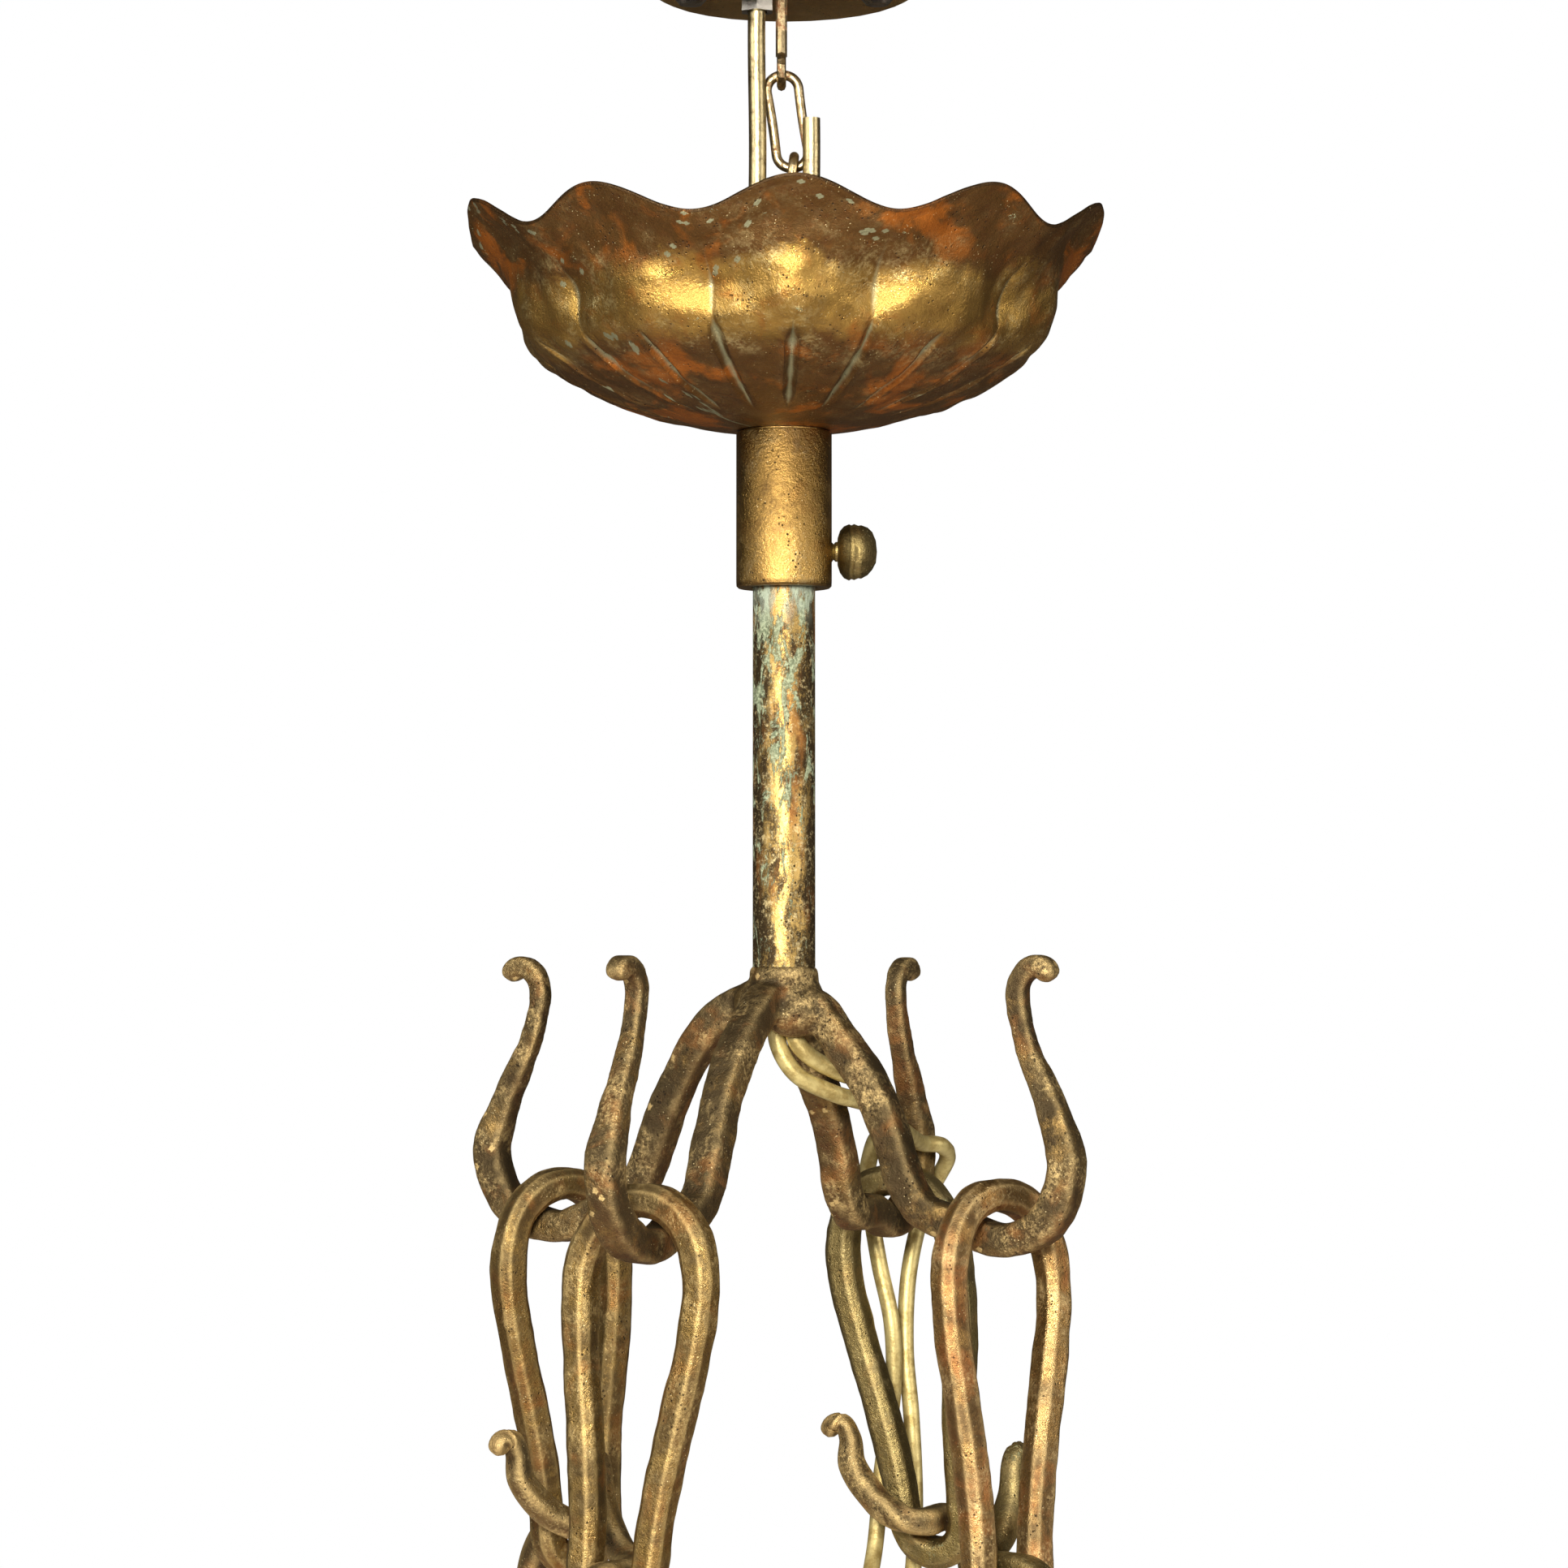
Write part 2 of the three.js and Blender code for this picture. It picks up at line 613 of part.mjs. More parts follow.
function lowerSection(t) {
  const full = 1 - THREE.MathUtils.smoothstep(t, 0.86, 0.97) * 0.28;
  return bevelled(lowerHalf * full, lowerHalf * full * 0.55);
}
for (const lower of lowerBars) {
  const side = outward(lower.azimuth + 90).multiplyScalar(0.98).add(vector(0, 0, 0.05));
  add(`lower_arm_${lower.name}`, bar(lowerCurve(lower), 34, lowerSection, side), bronze);
}

// Lower hub, a short forged barrel on the nipple
const lowerHubTop = lowerHubMiddle + lowerHubHeight / 2;
const lowerHubFoot = lowerHubMiddle - lowerHubHeight / 2;
const lowerHubShape = turned([
  [nippleRadius + 0.15, lowerHubFoot],
  [lowerHubRadius - 1.6, lowerHubFoot],
  [lowerHubRadius, lowerHubFoot + 2.6],
  [lowerHubRadius, lowerHubTop - 2.6],
  [lowerHubRadius - 1.6, lowerHubTop],
  [nippleRadius + 0.15, lowerHubTop],
  [nippleRadius + 0.15, lowerHubFoot],
], 20);
add('lower_hub', lowerHubShape, bronze);

// Lamp cup under the hub: a small scalloped bowl turned upside down, in the canopy's style
const cupTop = lowerHubFoot - seatGap;
const cupProfile = new THREE.SplineCurve([
  [(nippleRadius + seatGap) / cupRadius, 0],
  [0.4, -0.08],
  [0.72, -0.34],
  [0.9, -0.72],
  [1, -1],
].map(([r, z]) => new THREE.Vector2(r * cupRadius, z * cupDepth)));
const cupScallops = 8;
function cupPoint(v, angle) {
  const p = cupProfile.getPoint(v);
  const rim = THREE.MathUtils.smoothstep(v, 0.4, 1);
  const wave = Math.cos(cupScallops * angle);
  const radius = p.x + rim * wave * 0.9;
  return vector(radius * Math.cos(angle), radius * Math.sin(angle), p.y - rim * wave * 1.6);
}
const cup = add('lamp_cup', shell(cupPoint, 5, cupScallops * 4, cupWall, -1), gilt);
cup.position.z = cupTop;

// Nipple tube from the hub down into the holder, with a nut on top
const holderTop = cupTop - cupWall - 2 * seatGap - 0.4;
const nippleTop = lowerHubTop + 4;
const nippleFoot = holderTop - 7;
add('nipple', tube(nippleBore, nippleRadius, nippleFoot, nippleTop, 18), brass);
const hubNut = tube(bore(nippleRadius + 0.15, 6), nippleRadius + 3.4, lowerHubTop + seatGap, lowerHubTop + 3, 6);
add('hub_nut', hubNut, brass);

// Lampholder: a shell round a ceramic insert with a socket open downwards
const holderFoot = holderTop - holderLength;
add('lampholder_shell', turned([
  [nippleRadius + 0.15, holderTop],
  [holderRadius * 0.62, holderTop],
  [holderRadius, holderTop - 5],
  [holderRadius, holderFoot],
  [holderRadius - holderWall, holderFoot],
  [holderRadius - holderWall, holderTop - 6],
  [holderRadius * 0.5, holderTop - holderWall - 1],
  [nippleRadius + 0.15, holderTop - holderWall - 1],
  [nippleRadius + 0.15, holderTop],
], 24), brass);
const insertRadius = holderRadius - holderWall - seatGap;
const socketRadius = bulbCapRadius + 0.35;
const insertTop = nippleFoot - seatGap;
const socketTop = insertTop - 3;
add('lampholder_insert', turned([
  [0, socketTop],
  [socketRadius, socketTop],
  [socketRadius, holderFoot + 0.4],
  [insertRadius, holderFoot + 0.4],
  [insertRadius, insertTop],
  [0, insertTop],
], 24), ceramic);

// Bulb: a ridged screw cap and an open-necked glass
const capTop = socketTop - 0.4;
const capFoot = capTop - bulbCapLength;
const capRidges = Array.from({ length: 6 }, (_, i) => {
  const ridge = capTop - 3.4 - i * 1.9;
  return [[bulbCapRadius, ridge], [bulbCapRadius * 0.92, ridge - 0.95]];
}).flat();
add('bulb_cap', turned([
  [0, capTop],
  [bulbCapRadius * 0.35, capTop],
  [bulbCapRadius * 0.45, capTop - 1.4],
  [bulbCapRadius * 0.9, capTop - 2.4],
  ...capRidges,
  [bulbCapRadius, capFoot],
  [0, capFoot],
], 14), brass);
const neckRadius = bulbCapRadius * 0.97;
const bulbNeckTop = capFoot - seatGap;
const bulbMiddle = bulbNeckTop - 6 - Math.sqrt(bulbRadius ** 2 - neckRadius ** 2);
const neckAngle = Math.asin(neckRadius / bulbRadius);
const globe = (radius, start, end, steps) => Array.from({ length: steps + 1 }, (_, i) => {
  const angle = start + ((end - start) * i) / steps;
  return [Math.max(0, radius * Math.sin(angle)), bulbMiddle + radius * Math.cos(angle)];
});
add('bulb_glass', turned([
  [neckRadius - bulbWall, bulbNeckTop],
  ...globe(bulbRadius - bulbWall, neckAngle * 1.02, Math.PI, 9),
  ...globe(bulbRadius, Math.PI, neckAngle * 1.15, 9),
  [neckRadius, bulbNeckTop],
  [neckRadius - bulbWall, bulbNeckTop],
], 18), glass);

// Lamp wires: out of the stem under the hub, one through the mouth of the back hook and one round it,
// then down behind the back link and over the nipple's rim. They lie side by side in stem and nipple.
const wireHook = arms.find((arm) => arm.name === 'back');
const wireAway = outward(wireHook.azimuth);
const wireAcross = outward(wireHook.azimuth - 90);
const hookFoot = hubFoot + hubHeight - hookDrop;
// Points at a distance out towards the back hook, a distance to the right of that, and a height over
// the hub's foot, over the foot of the hooks or over the nipple.
const wireAt = (out, right, z) => wireAway.clone().multiplyScalar(out).addScaledVector(wireAcross, right).setZ(z);
const underHub = (out, right, z) => wireAt(out * wireHook.size, right, hubFoot + z);
const atHook = (out, right, z) => wireAt(out * wireHook.size, right, hookFoot + z);
const overNipple = (out, right, z) => wireAt(out, right, nippleTop + z);
const throughMouth = [
  underHub(0.5, 2.4, -0.8),
  underHub(2.7, 4.6, -4),
  underHub(8.3, 7.6, -6.8),
  underHub(20.8, 9.3, -9.5),
  atHook(35.4, 6.5, 22.3),
  atHook(48, 0.5, 19),
  atHook(54.2, -6, 15.5),
  atHook(56.3, -8.8, 7.7),
  atHook(59.4, -9.5, 2.5),
  atHook(59.9, -7.5, -9.5),
  atHook(59.4, -4.5, -21.5),
  atHook(59.9, -4.5, -35.5),
  atHook(58.9, -6.5, -50.5),
  atHook(53.7, -6, -67.5),
];
const roundHook = [
  underHub(0.3, -1.3, -1.8),
  underHub(2.1, 1.6, -7.2),
  underHub(7.8, 6.4, -10.8),
  underHub(20.8, 9.3, -13.6),
  atHook(37.5, 8.2, 18.6),
  atHook(47.9, 5.8, 16.6),
  atHook(54.6, 4.6, 15.5),
  atHook(59.5, 6.4, 15),
  atHook(65.6, 5.2, 12.2),
  atHook(68.3, 1, 6.6),
  atHook(68.8, -2, 0.5),
  atHook(66.7, -4, -11.5),
  atHook(65.1, -4, -26.5),
  atHook(64.6, -2.5, -40.5),
  atHook(63, -1, -58.5),
  atHook(56.3, 1, -73.5),
];
function wireCurve(side, middle) {
  return spline([
    underHub(0, side * wireApart, hubHeight + 12),
    underHub(0, side * wireApart, 4),
    ...middle,
    overNipple(37, side * -3.2, 4.5),
    overNipple(24, side * -2.4, 3.6),
    overNipple(13, side * -wireApart, 8),
    overNipple(6, side * -wireApart, 10),
    overNipple(1, side * -wireApart, 5.4),
    overNipple(0, side * -wireApart, -1.5),
    overNipple(0, side * -wireApart, -lowerHubHeight),
  ]);
}
[1, -1].forEach((side, i) => {
  const curve = wireCurve(side, i === 0 ? throughMouth : roundHook);
  const section = new THREE.Shape(round(wireRadius, wireSides).map(([x, y]) => new THREE.Vector2(x, y)));
  const options = { steps: wireSteps, extrudePath: curve, bevelEnabled: false, curveSegments: 1 };
  add(`lamp_wire_${i + 1}`, new THREE.ExtrudeGeometry(section, options), sheath);
});

export default chandelier;
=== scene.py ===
"""A hanging chandelier in gilded wrought iron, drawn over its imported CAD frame.

Lengths in the piece classes are millimetres in the CAD frame (+Z up, +X right, +Y away from the front,
origin on the ceiling) and turn into metres when a mesh is made.
"""

import json
import logging
import math
from dataclasses import dataclass, field
from enum import Enum
from typing import Callable, Sequence, Union

import bpy
import numpy as np
from mathutils import Vector, noise
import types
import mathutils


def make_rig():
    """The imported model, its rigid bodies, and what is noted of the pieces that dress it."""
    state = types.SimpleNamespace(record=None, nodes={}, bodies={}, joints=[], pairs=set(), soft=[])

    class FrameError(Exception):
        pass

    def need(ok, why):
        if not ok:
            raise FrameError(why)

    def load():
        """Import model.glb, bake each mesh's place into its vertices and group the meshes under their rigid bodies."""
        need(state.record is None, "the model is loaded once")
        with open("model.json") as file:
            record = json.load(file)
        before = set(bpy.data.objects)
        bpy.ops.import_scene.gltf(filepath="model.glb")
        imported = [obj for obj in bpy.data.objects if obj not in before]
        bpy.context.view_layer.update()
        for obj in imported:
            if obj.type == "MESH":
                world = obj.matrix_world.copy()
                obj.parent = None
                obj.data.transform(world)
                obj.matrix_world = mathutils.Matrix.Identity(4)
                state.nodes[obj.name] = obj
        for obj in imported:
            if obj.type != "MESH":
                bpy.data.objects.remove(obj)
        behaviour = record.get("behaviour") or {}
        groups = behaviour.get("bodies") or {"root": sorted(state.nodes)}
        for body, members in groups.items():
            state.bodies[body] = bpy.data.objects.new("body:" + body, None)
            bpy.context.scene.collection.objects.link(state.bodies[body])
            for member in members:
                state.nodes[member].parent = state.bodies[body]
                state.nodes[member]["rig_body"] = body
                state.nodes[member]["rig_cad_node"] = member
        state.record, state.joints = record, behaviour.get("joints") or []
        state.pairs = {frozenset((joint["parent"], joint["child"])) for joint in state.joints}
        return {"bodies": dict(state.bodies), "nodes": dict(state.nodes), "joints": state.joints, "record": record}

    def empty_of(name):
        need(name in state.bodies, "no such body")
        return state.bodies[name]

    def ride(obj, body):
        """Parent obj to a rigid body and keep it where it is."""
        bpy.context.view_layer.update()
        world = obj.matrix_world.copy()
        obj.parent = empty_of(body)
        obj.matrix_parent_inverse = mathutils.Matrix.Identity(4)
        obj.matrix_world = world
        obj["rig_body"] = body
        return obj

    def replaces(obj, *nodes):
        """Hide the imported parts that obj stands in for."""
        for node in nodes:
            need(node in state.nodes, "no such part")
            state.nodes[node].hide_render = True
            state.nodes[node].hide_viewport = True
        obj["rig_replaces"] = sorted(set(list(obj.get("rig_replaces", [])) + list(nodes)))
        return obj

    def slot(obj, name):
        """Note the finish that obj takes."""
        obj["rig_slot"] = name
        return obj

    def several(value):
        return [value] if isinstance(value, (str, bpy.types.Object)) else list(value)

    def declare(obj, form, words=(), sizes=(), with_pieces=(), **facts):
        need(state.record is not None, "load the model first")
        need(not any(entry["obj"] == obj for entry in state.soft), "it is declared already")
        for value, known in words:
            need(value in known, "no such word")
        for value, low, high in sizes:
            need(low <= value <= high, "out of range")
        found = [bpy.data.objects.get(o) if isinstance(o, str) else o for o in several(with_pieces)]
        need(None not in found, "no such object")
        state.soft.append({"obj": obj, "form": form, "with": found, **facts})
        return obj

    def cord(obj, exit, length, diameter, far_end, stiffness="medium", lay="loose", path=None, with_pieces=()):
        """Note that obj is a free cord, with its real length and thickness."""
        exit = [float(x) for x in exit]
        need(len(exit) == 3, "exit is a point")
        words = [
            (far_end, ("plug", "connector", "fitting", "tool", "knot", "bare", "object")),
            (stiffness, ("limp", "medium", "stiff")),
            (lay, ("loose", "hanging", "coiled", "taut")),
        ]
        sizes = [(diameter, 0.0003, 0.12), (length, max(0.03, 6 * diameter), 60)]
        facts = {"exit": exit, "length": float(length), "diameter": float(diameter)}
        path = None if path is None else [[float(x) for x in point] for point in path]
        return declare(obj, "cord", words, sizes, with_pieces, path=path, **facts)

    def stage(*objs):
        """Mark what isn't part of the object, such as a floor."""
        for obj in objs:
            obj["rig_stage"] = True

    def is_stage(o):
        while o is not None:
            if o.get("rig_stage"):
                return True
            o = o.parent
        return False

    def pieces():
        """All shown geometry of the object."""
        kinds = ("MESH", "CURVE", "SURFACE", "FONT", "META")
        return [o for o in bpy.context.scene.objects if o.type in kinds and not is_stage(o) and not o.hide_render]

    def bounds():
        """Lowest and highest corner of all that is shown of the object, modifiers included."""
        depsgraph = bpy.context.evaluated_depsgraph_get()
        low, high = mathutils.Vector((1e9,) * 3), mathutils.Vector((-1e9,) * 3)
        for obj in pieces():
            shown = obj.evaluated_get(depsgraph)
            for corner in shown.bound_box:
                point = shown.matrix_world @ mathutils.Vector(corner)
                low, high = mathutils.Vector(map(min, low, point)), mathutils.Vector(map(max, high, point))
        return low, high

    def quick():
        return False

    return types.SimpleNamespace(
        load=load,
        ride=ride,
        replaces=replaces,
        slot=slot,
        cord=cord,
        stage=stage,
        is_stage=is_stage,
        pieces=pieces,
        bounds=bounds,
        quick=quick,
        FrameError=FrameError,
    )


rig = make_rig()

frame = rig.load()

LOG = logging.getLogger("chandelier")
MM = 0.001
SHELL_CREASE = 75
BAR_CREASE = 60
Array = np.ndarray
Colour = tuple[float, float, float]


class Body(str, Enum):
    """CAD bodies that pieces ride on."""

    CEILING = "ceiling"
    STEM = "stem"
    COLLAR = "collar"
    CANOPY = "canopy"
    SET_SCREW = "set_screw"
    LOWER = "lower_frame"
    BULB = "bulb"


class Slot(str, Enum):
    """Material slots of the record."""

    GILT = "gilt_iron"
    FORGED = "forged_iron"
    BRASS = "brass"
    WIRE = "wire_sheath"
    GLASS = "bulb_glass"


class Socket:
    """An output socket with arithmetic that adds Math nodes."""

    def __init__(self, tree: "Tree", socket: bpy.types.NodeSocket) -> None:
        """Wraps a socket.

        Args:
            tree: The tree that owns it.
            socket: The output socket.
        """
        self.tree = tree
        self.socket = socket

    def _math(self, operation: str, first: "Value", second: "Value") -> "Socket":
        """Adds one Math node.

        Args:
            operation: The node's operation.
            first: First value.
            second: Second value.

        Returns:
            The node's result.
        """
        return self.tree.node("ShaderNodeMath", {"operation": operation}, {0: first, 1: second})

    def __add__(self, other: "Value") -> "Socket":
        """Socket plus value."""
        return self._math("ADD", self, other)

    def __radd__(self, other: "Value") -> "Socket":
        """Value plus socket."""
        return self._math("ADD", other, self)

    def __sub__(self, other: "Value") -> "Socket":
        """Socket minus value."""
        return self._math("SUBTRACT", self, other)

    def __rsub__(self, other: "Value") -> "Socket":
        """Value minus socket."""
        return self._math("SUBTRACT", other, self)

    def __mul__(self, other: "Value") -> "Socket":
        """Socket times value."""
        return self._math("MULTIPLY", self, other)

    def __rmul__(self, other: "Value") -> "Socket":
        """Value times socket."""
        return self._math("MULTIPLY", other, self)

    def ramp(self, low: float, high: float, start: float = 0.0, end: float = 1.0) -> "Socket":
        """Maps low..high smoothly to start..end and clamps it.

        Args:
            low: Input value that gives start.
            high: Input value that gives end.
            start: First output.
            end: Last output.

        Returns:
            The mapped value.
        """
        settings = {"interpolation_type": "SMOOTHSTEP"}
        return self.tree.node("ShaderNodeMapRange", settings, {0: self, 1: low, 2: high, 3: start, 4: end})


Value = Union[Socket, float, int, Sequence[float]]


class Tree:
    """A material's node tree."""

    def __init__(self, name: str) -> None:
        """Makes an empty material.

        Args:
            name: The material's name.
        """
        self.material = bpy.data.materials.new(name)
        self.material.use_nodes = True
        self.nodes = self.material.node_tree.nodes
        self.links = self.material.node_tree.links
        self.nodes.clear()
        self.place = self.node("ShaderNodeTexCoord", {}, {}, "Object")

    def node(self, kind: str, settings: dict, inputs: dict, output: Union[int, str] = 0) -> Socket:
        """Adds a node.

        Args:
            kind: The node's type.
            settings: Attributes to set on it.
            inputs: Values or sockets by input name or index.
            output: Which output to return.

        Returns:
            The chosen output.
        """
        made = self.nodes.new(kind)
        for key, value in settings.items():
            setattr(made, key, value)
        for key, value in inputs.items():
            if isinstance(value, Socket):
                self.links.new(value.socket, made.inputs[key])
            else:
                made.inputs[key].default_value = value
        return Socket(self, made.outputs[output]) if len(made.outputs) else Socket(self, None)

    def noise(self, scale: float, detail: float = 4.0, rough: float = 0.55, warp: float = 0.0,
              stretch: Sequence[float] = (1, 1, 1)) -> Socket:
        """Adds a noise texture in the part's own coordinates.

        Args:
            scale: Features per metre.
            detail: Octaves.
            rough: Roughness of the octaves.
            warp: Distortion.
            stretch: Factors on the coordinates.

        Returns:
            The noise value.
        """
        place = self.node("ShaderNodeVectorMath", {"operation": "MULTIPLY"}, {0: self.place, 1: stretch})
        inputs = {"Vector": place, "Scale": scale, "Detail": detail, "Roughness": rough, "Distortion": warp}
        return self.node("ShaderNodeTexNoise", {}, inputs, "Fac")

    def cells(self, scale: float) -> Socket:
        """Adds a Voronoi texture.

        Args:
            scale: Cells per metre.

        Returns:
            The distance to the nearest cell point.
        """
        return self.node("ShaderNodeTexVoronoi", {}, {"Vector": self.place, "Scale": scale}, "Distance")

    def facing(self, axis: int) -> Socket:
        """Reads the surface normal.

        Args:
            axis: 0, 1 or 2 for X, Y or Z.

        Returns:
            That part of the true normal.
        """
        normal = self.node("ShaderNodeNewGeometry", {}, {}, "Normal")
        return self.node("ShaderNodeSeparateXYZ", {}, {0: normal}, axis)

    def height(self) -> Socket:
        """Reads the height in the part.

        Returns:
            Z in metres.
        """
        return self.node("ShaderNodeSeparateXYZ", {}, {0: self.place}, 2)

    def edge(self) -> Socket:
        """Reads how sharply the surface bends outwards.

        Returns:
            Pointiness, about a half on flats.
        """
        return self.node("ShaderNodeNewGeometry", {}, {}, "Pointiness")

    def mix(self, factor: Value, first: Union[Socket, Colour], second: Union[Socket, Colour]) -> Socket:
        """Mixes two colours.

        Args:
            factor: Share of the second.
            first: First colour.
            second: Second colour.

        Returns:
            The mixed colour.
        """
        pair = [c if isinstance(c, Socket) else (*c, 1.0) for c in (first, second)]
        inputs = {0: factor, 6: pair[0], 7: pair[1]}
        return self.node("ShaderNodeMix", {"data_type": "RGBA"}, inputs, 2)

    def bump(self, height: Socket, distance: float, strength: float) -> Socket:
        """Adds a bump node.

        Args:
            height: The height value.
            distance: Height of a value of one, in metres.
            strength: The node's strength.

        Returns:
            The bent normal.
        """
        inputs = {"Height": height, "Distance": distance, "Strength": strength}
        return self.node("ShaderNodeBump", {}, inputs)

    def surface(self, inputs: dict) -> bpy.types.Material:
        """Closes the tree with a Principled surface.

        Args:
            inputs: Values or sockets of the Principled node.

        Returns:
            The finished material.
        """
        shader = self.node("ShaderNodeBsdfPrincipled", {}, inputs)
        self.node("ShaderNodeOutputMaterial", {}, {"Surface": shader})
        return self.material


@dataclass(frozen=True)
class Gilding:
    """Antique gold over dark iron, with copper, dark patina, verdigris and bright specks, and a painted warm
    reflection of the floor in copper and rust tones on faces that point down.

    Each share runs from 0 to 1, and each scale counts features per metre. The worn heights, in metres,
    bound a band that is rubbed bright and holds the bright patches, partly a painted highlight where the belly faces
    the key light, and the parts outside it are darker and fire-stained. With worn heights, faces turned to the sides
    are darker: painted shade.
    """

    name: str
    gold: Colour = (0.56, 0.33, 0.075)
    # Bright gold of rubbed gilt; with worn heights it is kept mostly to the band, partly as a painted highlight.
    bright: Colour = (0.92, 0.7, 0.3)
    # Dark patina, also laid on as painted shade on faces turned to the sides where worn heights are given.
    patina: Colour = (0.075, 0.032, 0.009)
    # Copper tone in noise patches, also laid on faces that point down as a painted warm reflection of the floor.
    copper: Colour = (0.46, 0.15, 0.028)
    verdigris: Colour = (0.3, 0.36, 0.22)
    # Rust, laid only on faces that point down: partly rust, partly painted warm reflection of the floor.
    rust: Colour = (0.13, 0.034, 0.012)
    fire: Colour = (0.5, 0.15, 0.018)
    speck: Colour = (0.95, 0.8, 0.45)
    pit: Colour = (0.02, 0.012, 0.006)
    dark_share: float = 0.5
    copper_share: float = 0.5
    green_share: float = 0.3
    bright_share: float = 0.5
    # Strength of the painted warm reflection on faces that point down.
    under: float = 1.0
    rough: float = 0.36
    grain: float = 1.0
    relief: float = 0.0006
    blotch_scale: float = 70
    mottle_scale: float = 260
    fine_scale: float = 1500
    grit_scale: float = 3600
    speck_scale: float = 1300
    pit_scale: float = 980
    worn: tuple[float, float] | None = None
    rim: Colour | None = None

    def material(self) -> bpy.types.Material:
        """Builds the finish.

        Returns:
            The material.
        """
        tree = Tree(self.name)
        blotch = tree.noise(self.blotch_scale, 7, 0.62, 0.8)
        mottle = tree.noise(self.mottle_scale, 6, 0.65, 0.4)
        fine = tree.noise(self.fine_scale, 4, 0.7)
        grit = tree.noise(self.grit_scale, 3, 0.6)
        wear = tree.edge().ramp(0.5, 0.57)
        hollow = tree.edge().ramp(0.5, 0.45)
        # Faces that point down: mask of the painted warm reflection of the floor, scaled by under.
        low = tree.facing(2).ramp(0.15, -0.75) * self.under
        edge = 0.62 - 0.3 * self.dark_share
        dark = (blotch * 0.5 + mottle * 0.32 + fine * 0.18).ramp(edge - 0.06, edge + 0.1)
        if self.worn:
            low_edge, high_edge = self.worn
            blend = (high_edge - low_edge) * 0.35
            height = tree.height() + (blotch - 0.5) * 0.012
            rising = height.ramp(low_edge, low_edge + blend)
            band = rising * height.ramp(high_edge, high_edge - blend)
            # Faces turned to the sides are darkened: painted shade. Outside the band it is darker, inside lighter.
            side = tree.facing(0)
            dark = dark * (1.0 - 0.55 * band) + (1.0 - band) * 0.72 + side * side * 0.35
            dark = dark.ramp(0.0, 1.0)
        colour = tree.mix(dark * (0.62 + 0.38 * self.dark_share), self.gold, self.patina)
        reach = 0.62 - 0.24 * self.copper_share
        warm = tree.noise(120, 5, 0.6, 0.5).ramp(reach - 0.04, reach + 0.16)
        # Copper in noise patches is the metal's own tone; copper on faces that point down is painted reflection of the
        # warm floor.
        colour = tree.mix(warm * 0.65 + low * 0.5, colour, self.copper)
        # Rust patches only on faces that point down: partly rust, partly painted reflection of the warm floor.
        rust = (tree.noise(420, 5, 0.7).ramp(0.47, 0.62) * low) * 0.7
        colour = tree.mix(rust, colour, self.rust)
        if self.worn:
            fire = tree.noise(60, 4, 0.6, 0.4).ramp(0.52, 0.62) * (1.0 - band)
            colour = tree.mix(fire * 0.85, colour, self.fire)
        shine = (mottle * 0.5 + fine * 0.5).ramp(0.44, 0.68) * (tree.noise(95, 4).ramp(0.42, 0.62))
        # With worn heights the bright patches keep mostly to the band: partly rubbed gilt, partly painted highlight
        # where the belly faces the key light.
        if self.worn:
            shine = shine * (band * 0.75 + 0.25)
        colour = tree.mix(shine * 0.75 * self.bright_share, colour, self.bright)
        edge_share = 0.85 if self.rim else 0.7 * self.bright_share
        colour = tree.mix(wear * edge_share, colour, self.rim or self.bright)
        colour = tree.mix(hollow * 0.75, colour, self.patina)
        specks = tree.cells(self.speck_scale).ramp(0.2, 0.08) * tree.noise(300, 2).ramp(0.5, 0.64)
        colour = tree.mix(specks * 0.8, colour, self.speck)
        pits = tree.cells(self.pit_scale).ramp(0.24, 0.1) * tree.noise(210, 2).ramp(0.5, 0.6)
        colour = tree.mix(pits * 0.85, colour, self.pit)
        patch = 0.75 - 0.25 * self.green_share
        moss = tree.noise(150, 6, 0.68, 0.3) * 0.6 + fine * 0.2 + grit * 0.2
        green = moss.ramp(patch - 0.09, patch - 0.03)
        colour = tree.mix(green * 0.85, colour, self.verdigris)
        relief = 0.5 * mottle + 0.36 * fine + 0.2 * grit + 0.25 * green - 0.4 * pits
        return tree.surface({
            "Base Color": colour,
            "Roughness": self.rough + 0.22 * dark + 0.14 * (fine - 0.5) + 0.3 * green - 0.06 * shine,
            "Metallic": 1.0 - 0.75 * green - 0.25 * dark - 0.2 * pits,
            "Normal": tree.bump(relief, self.relief * self.grain, 0.75),
        })


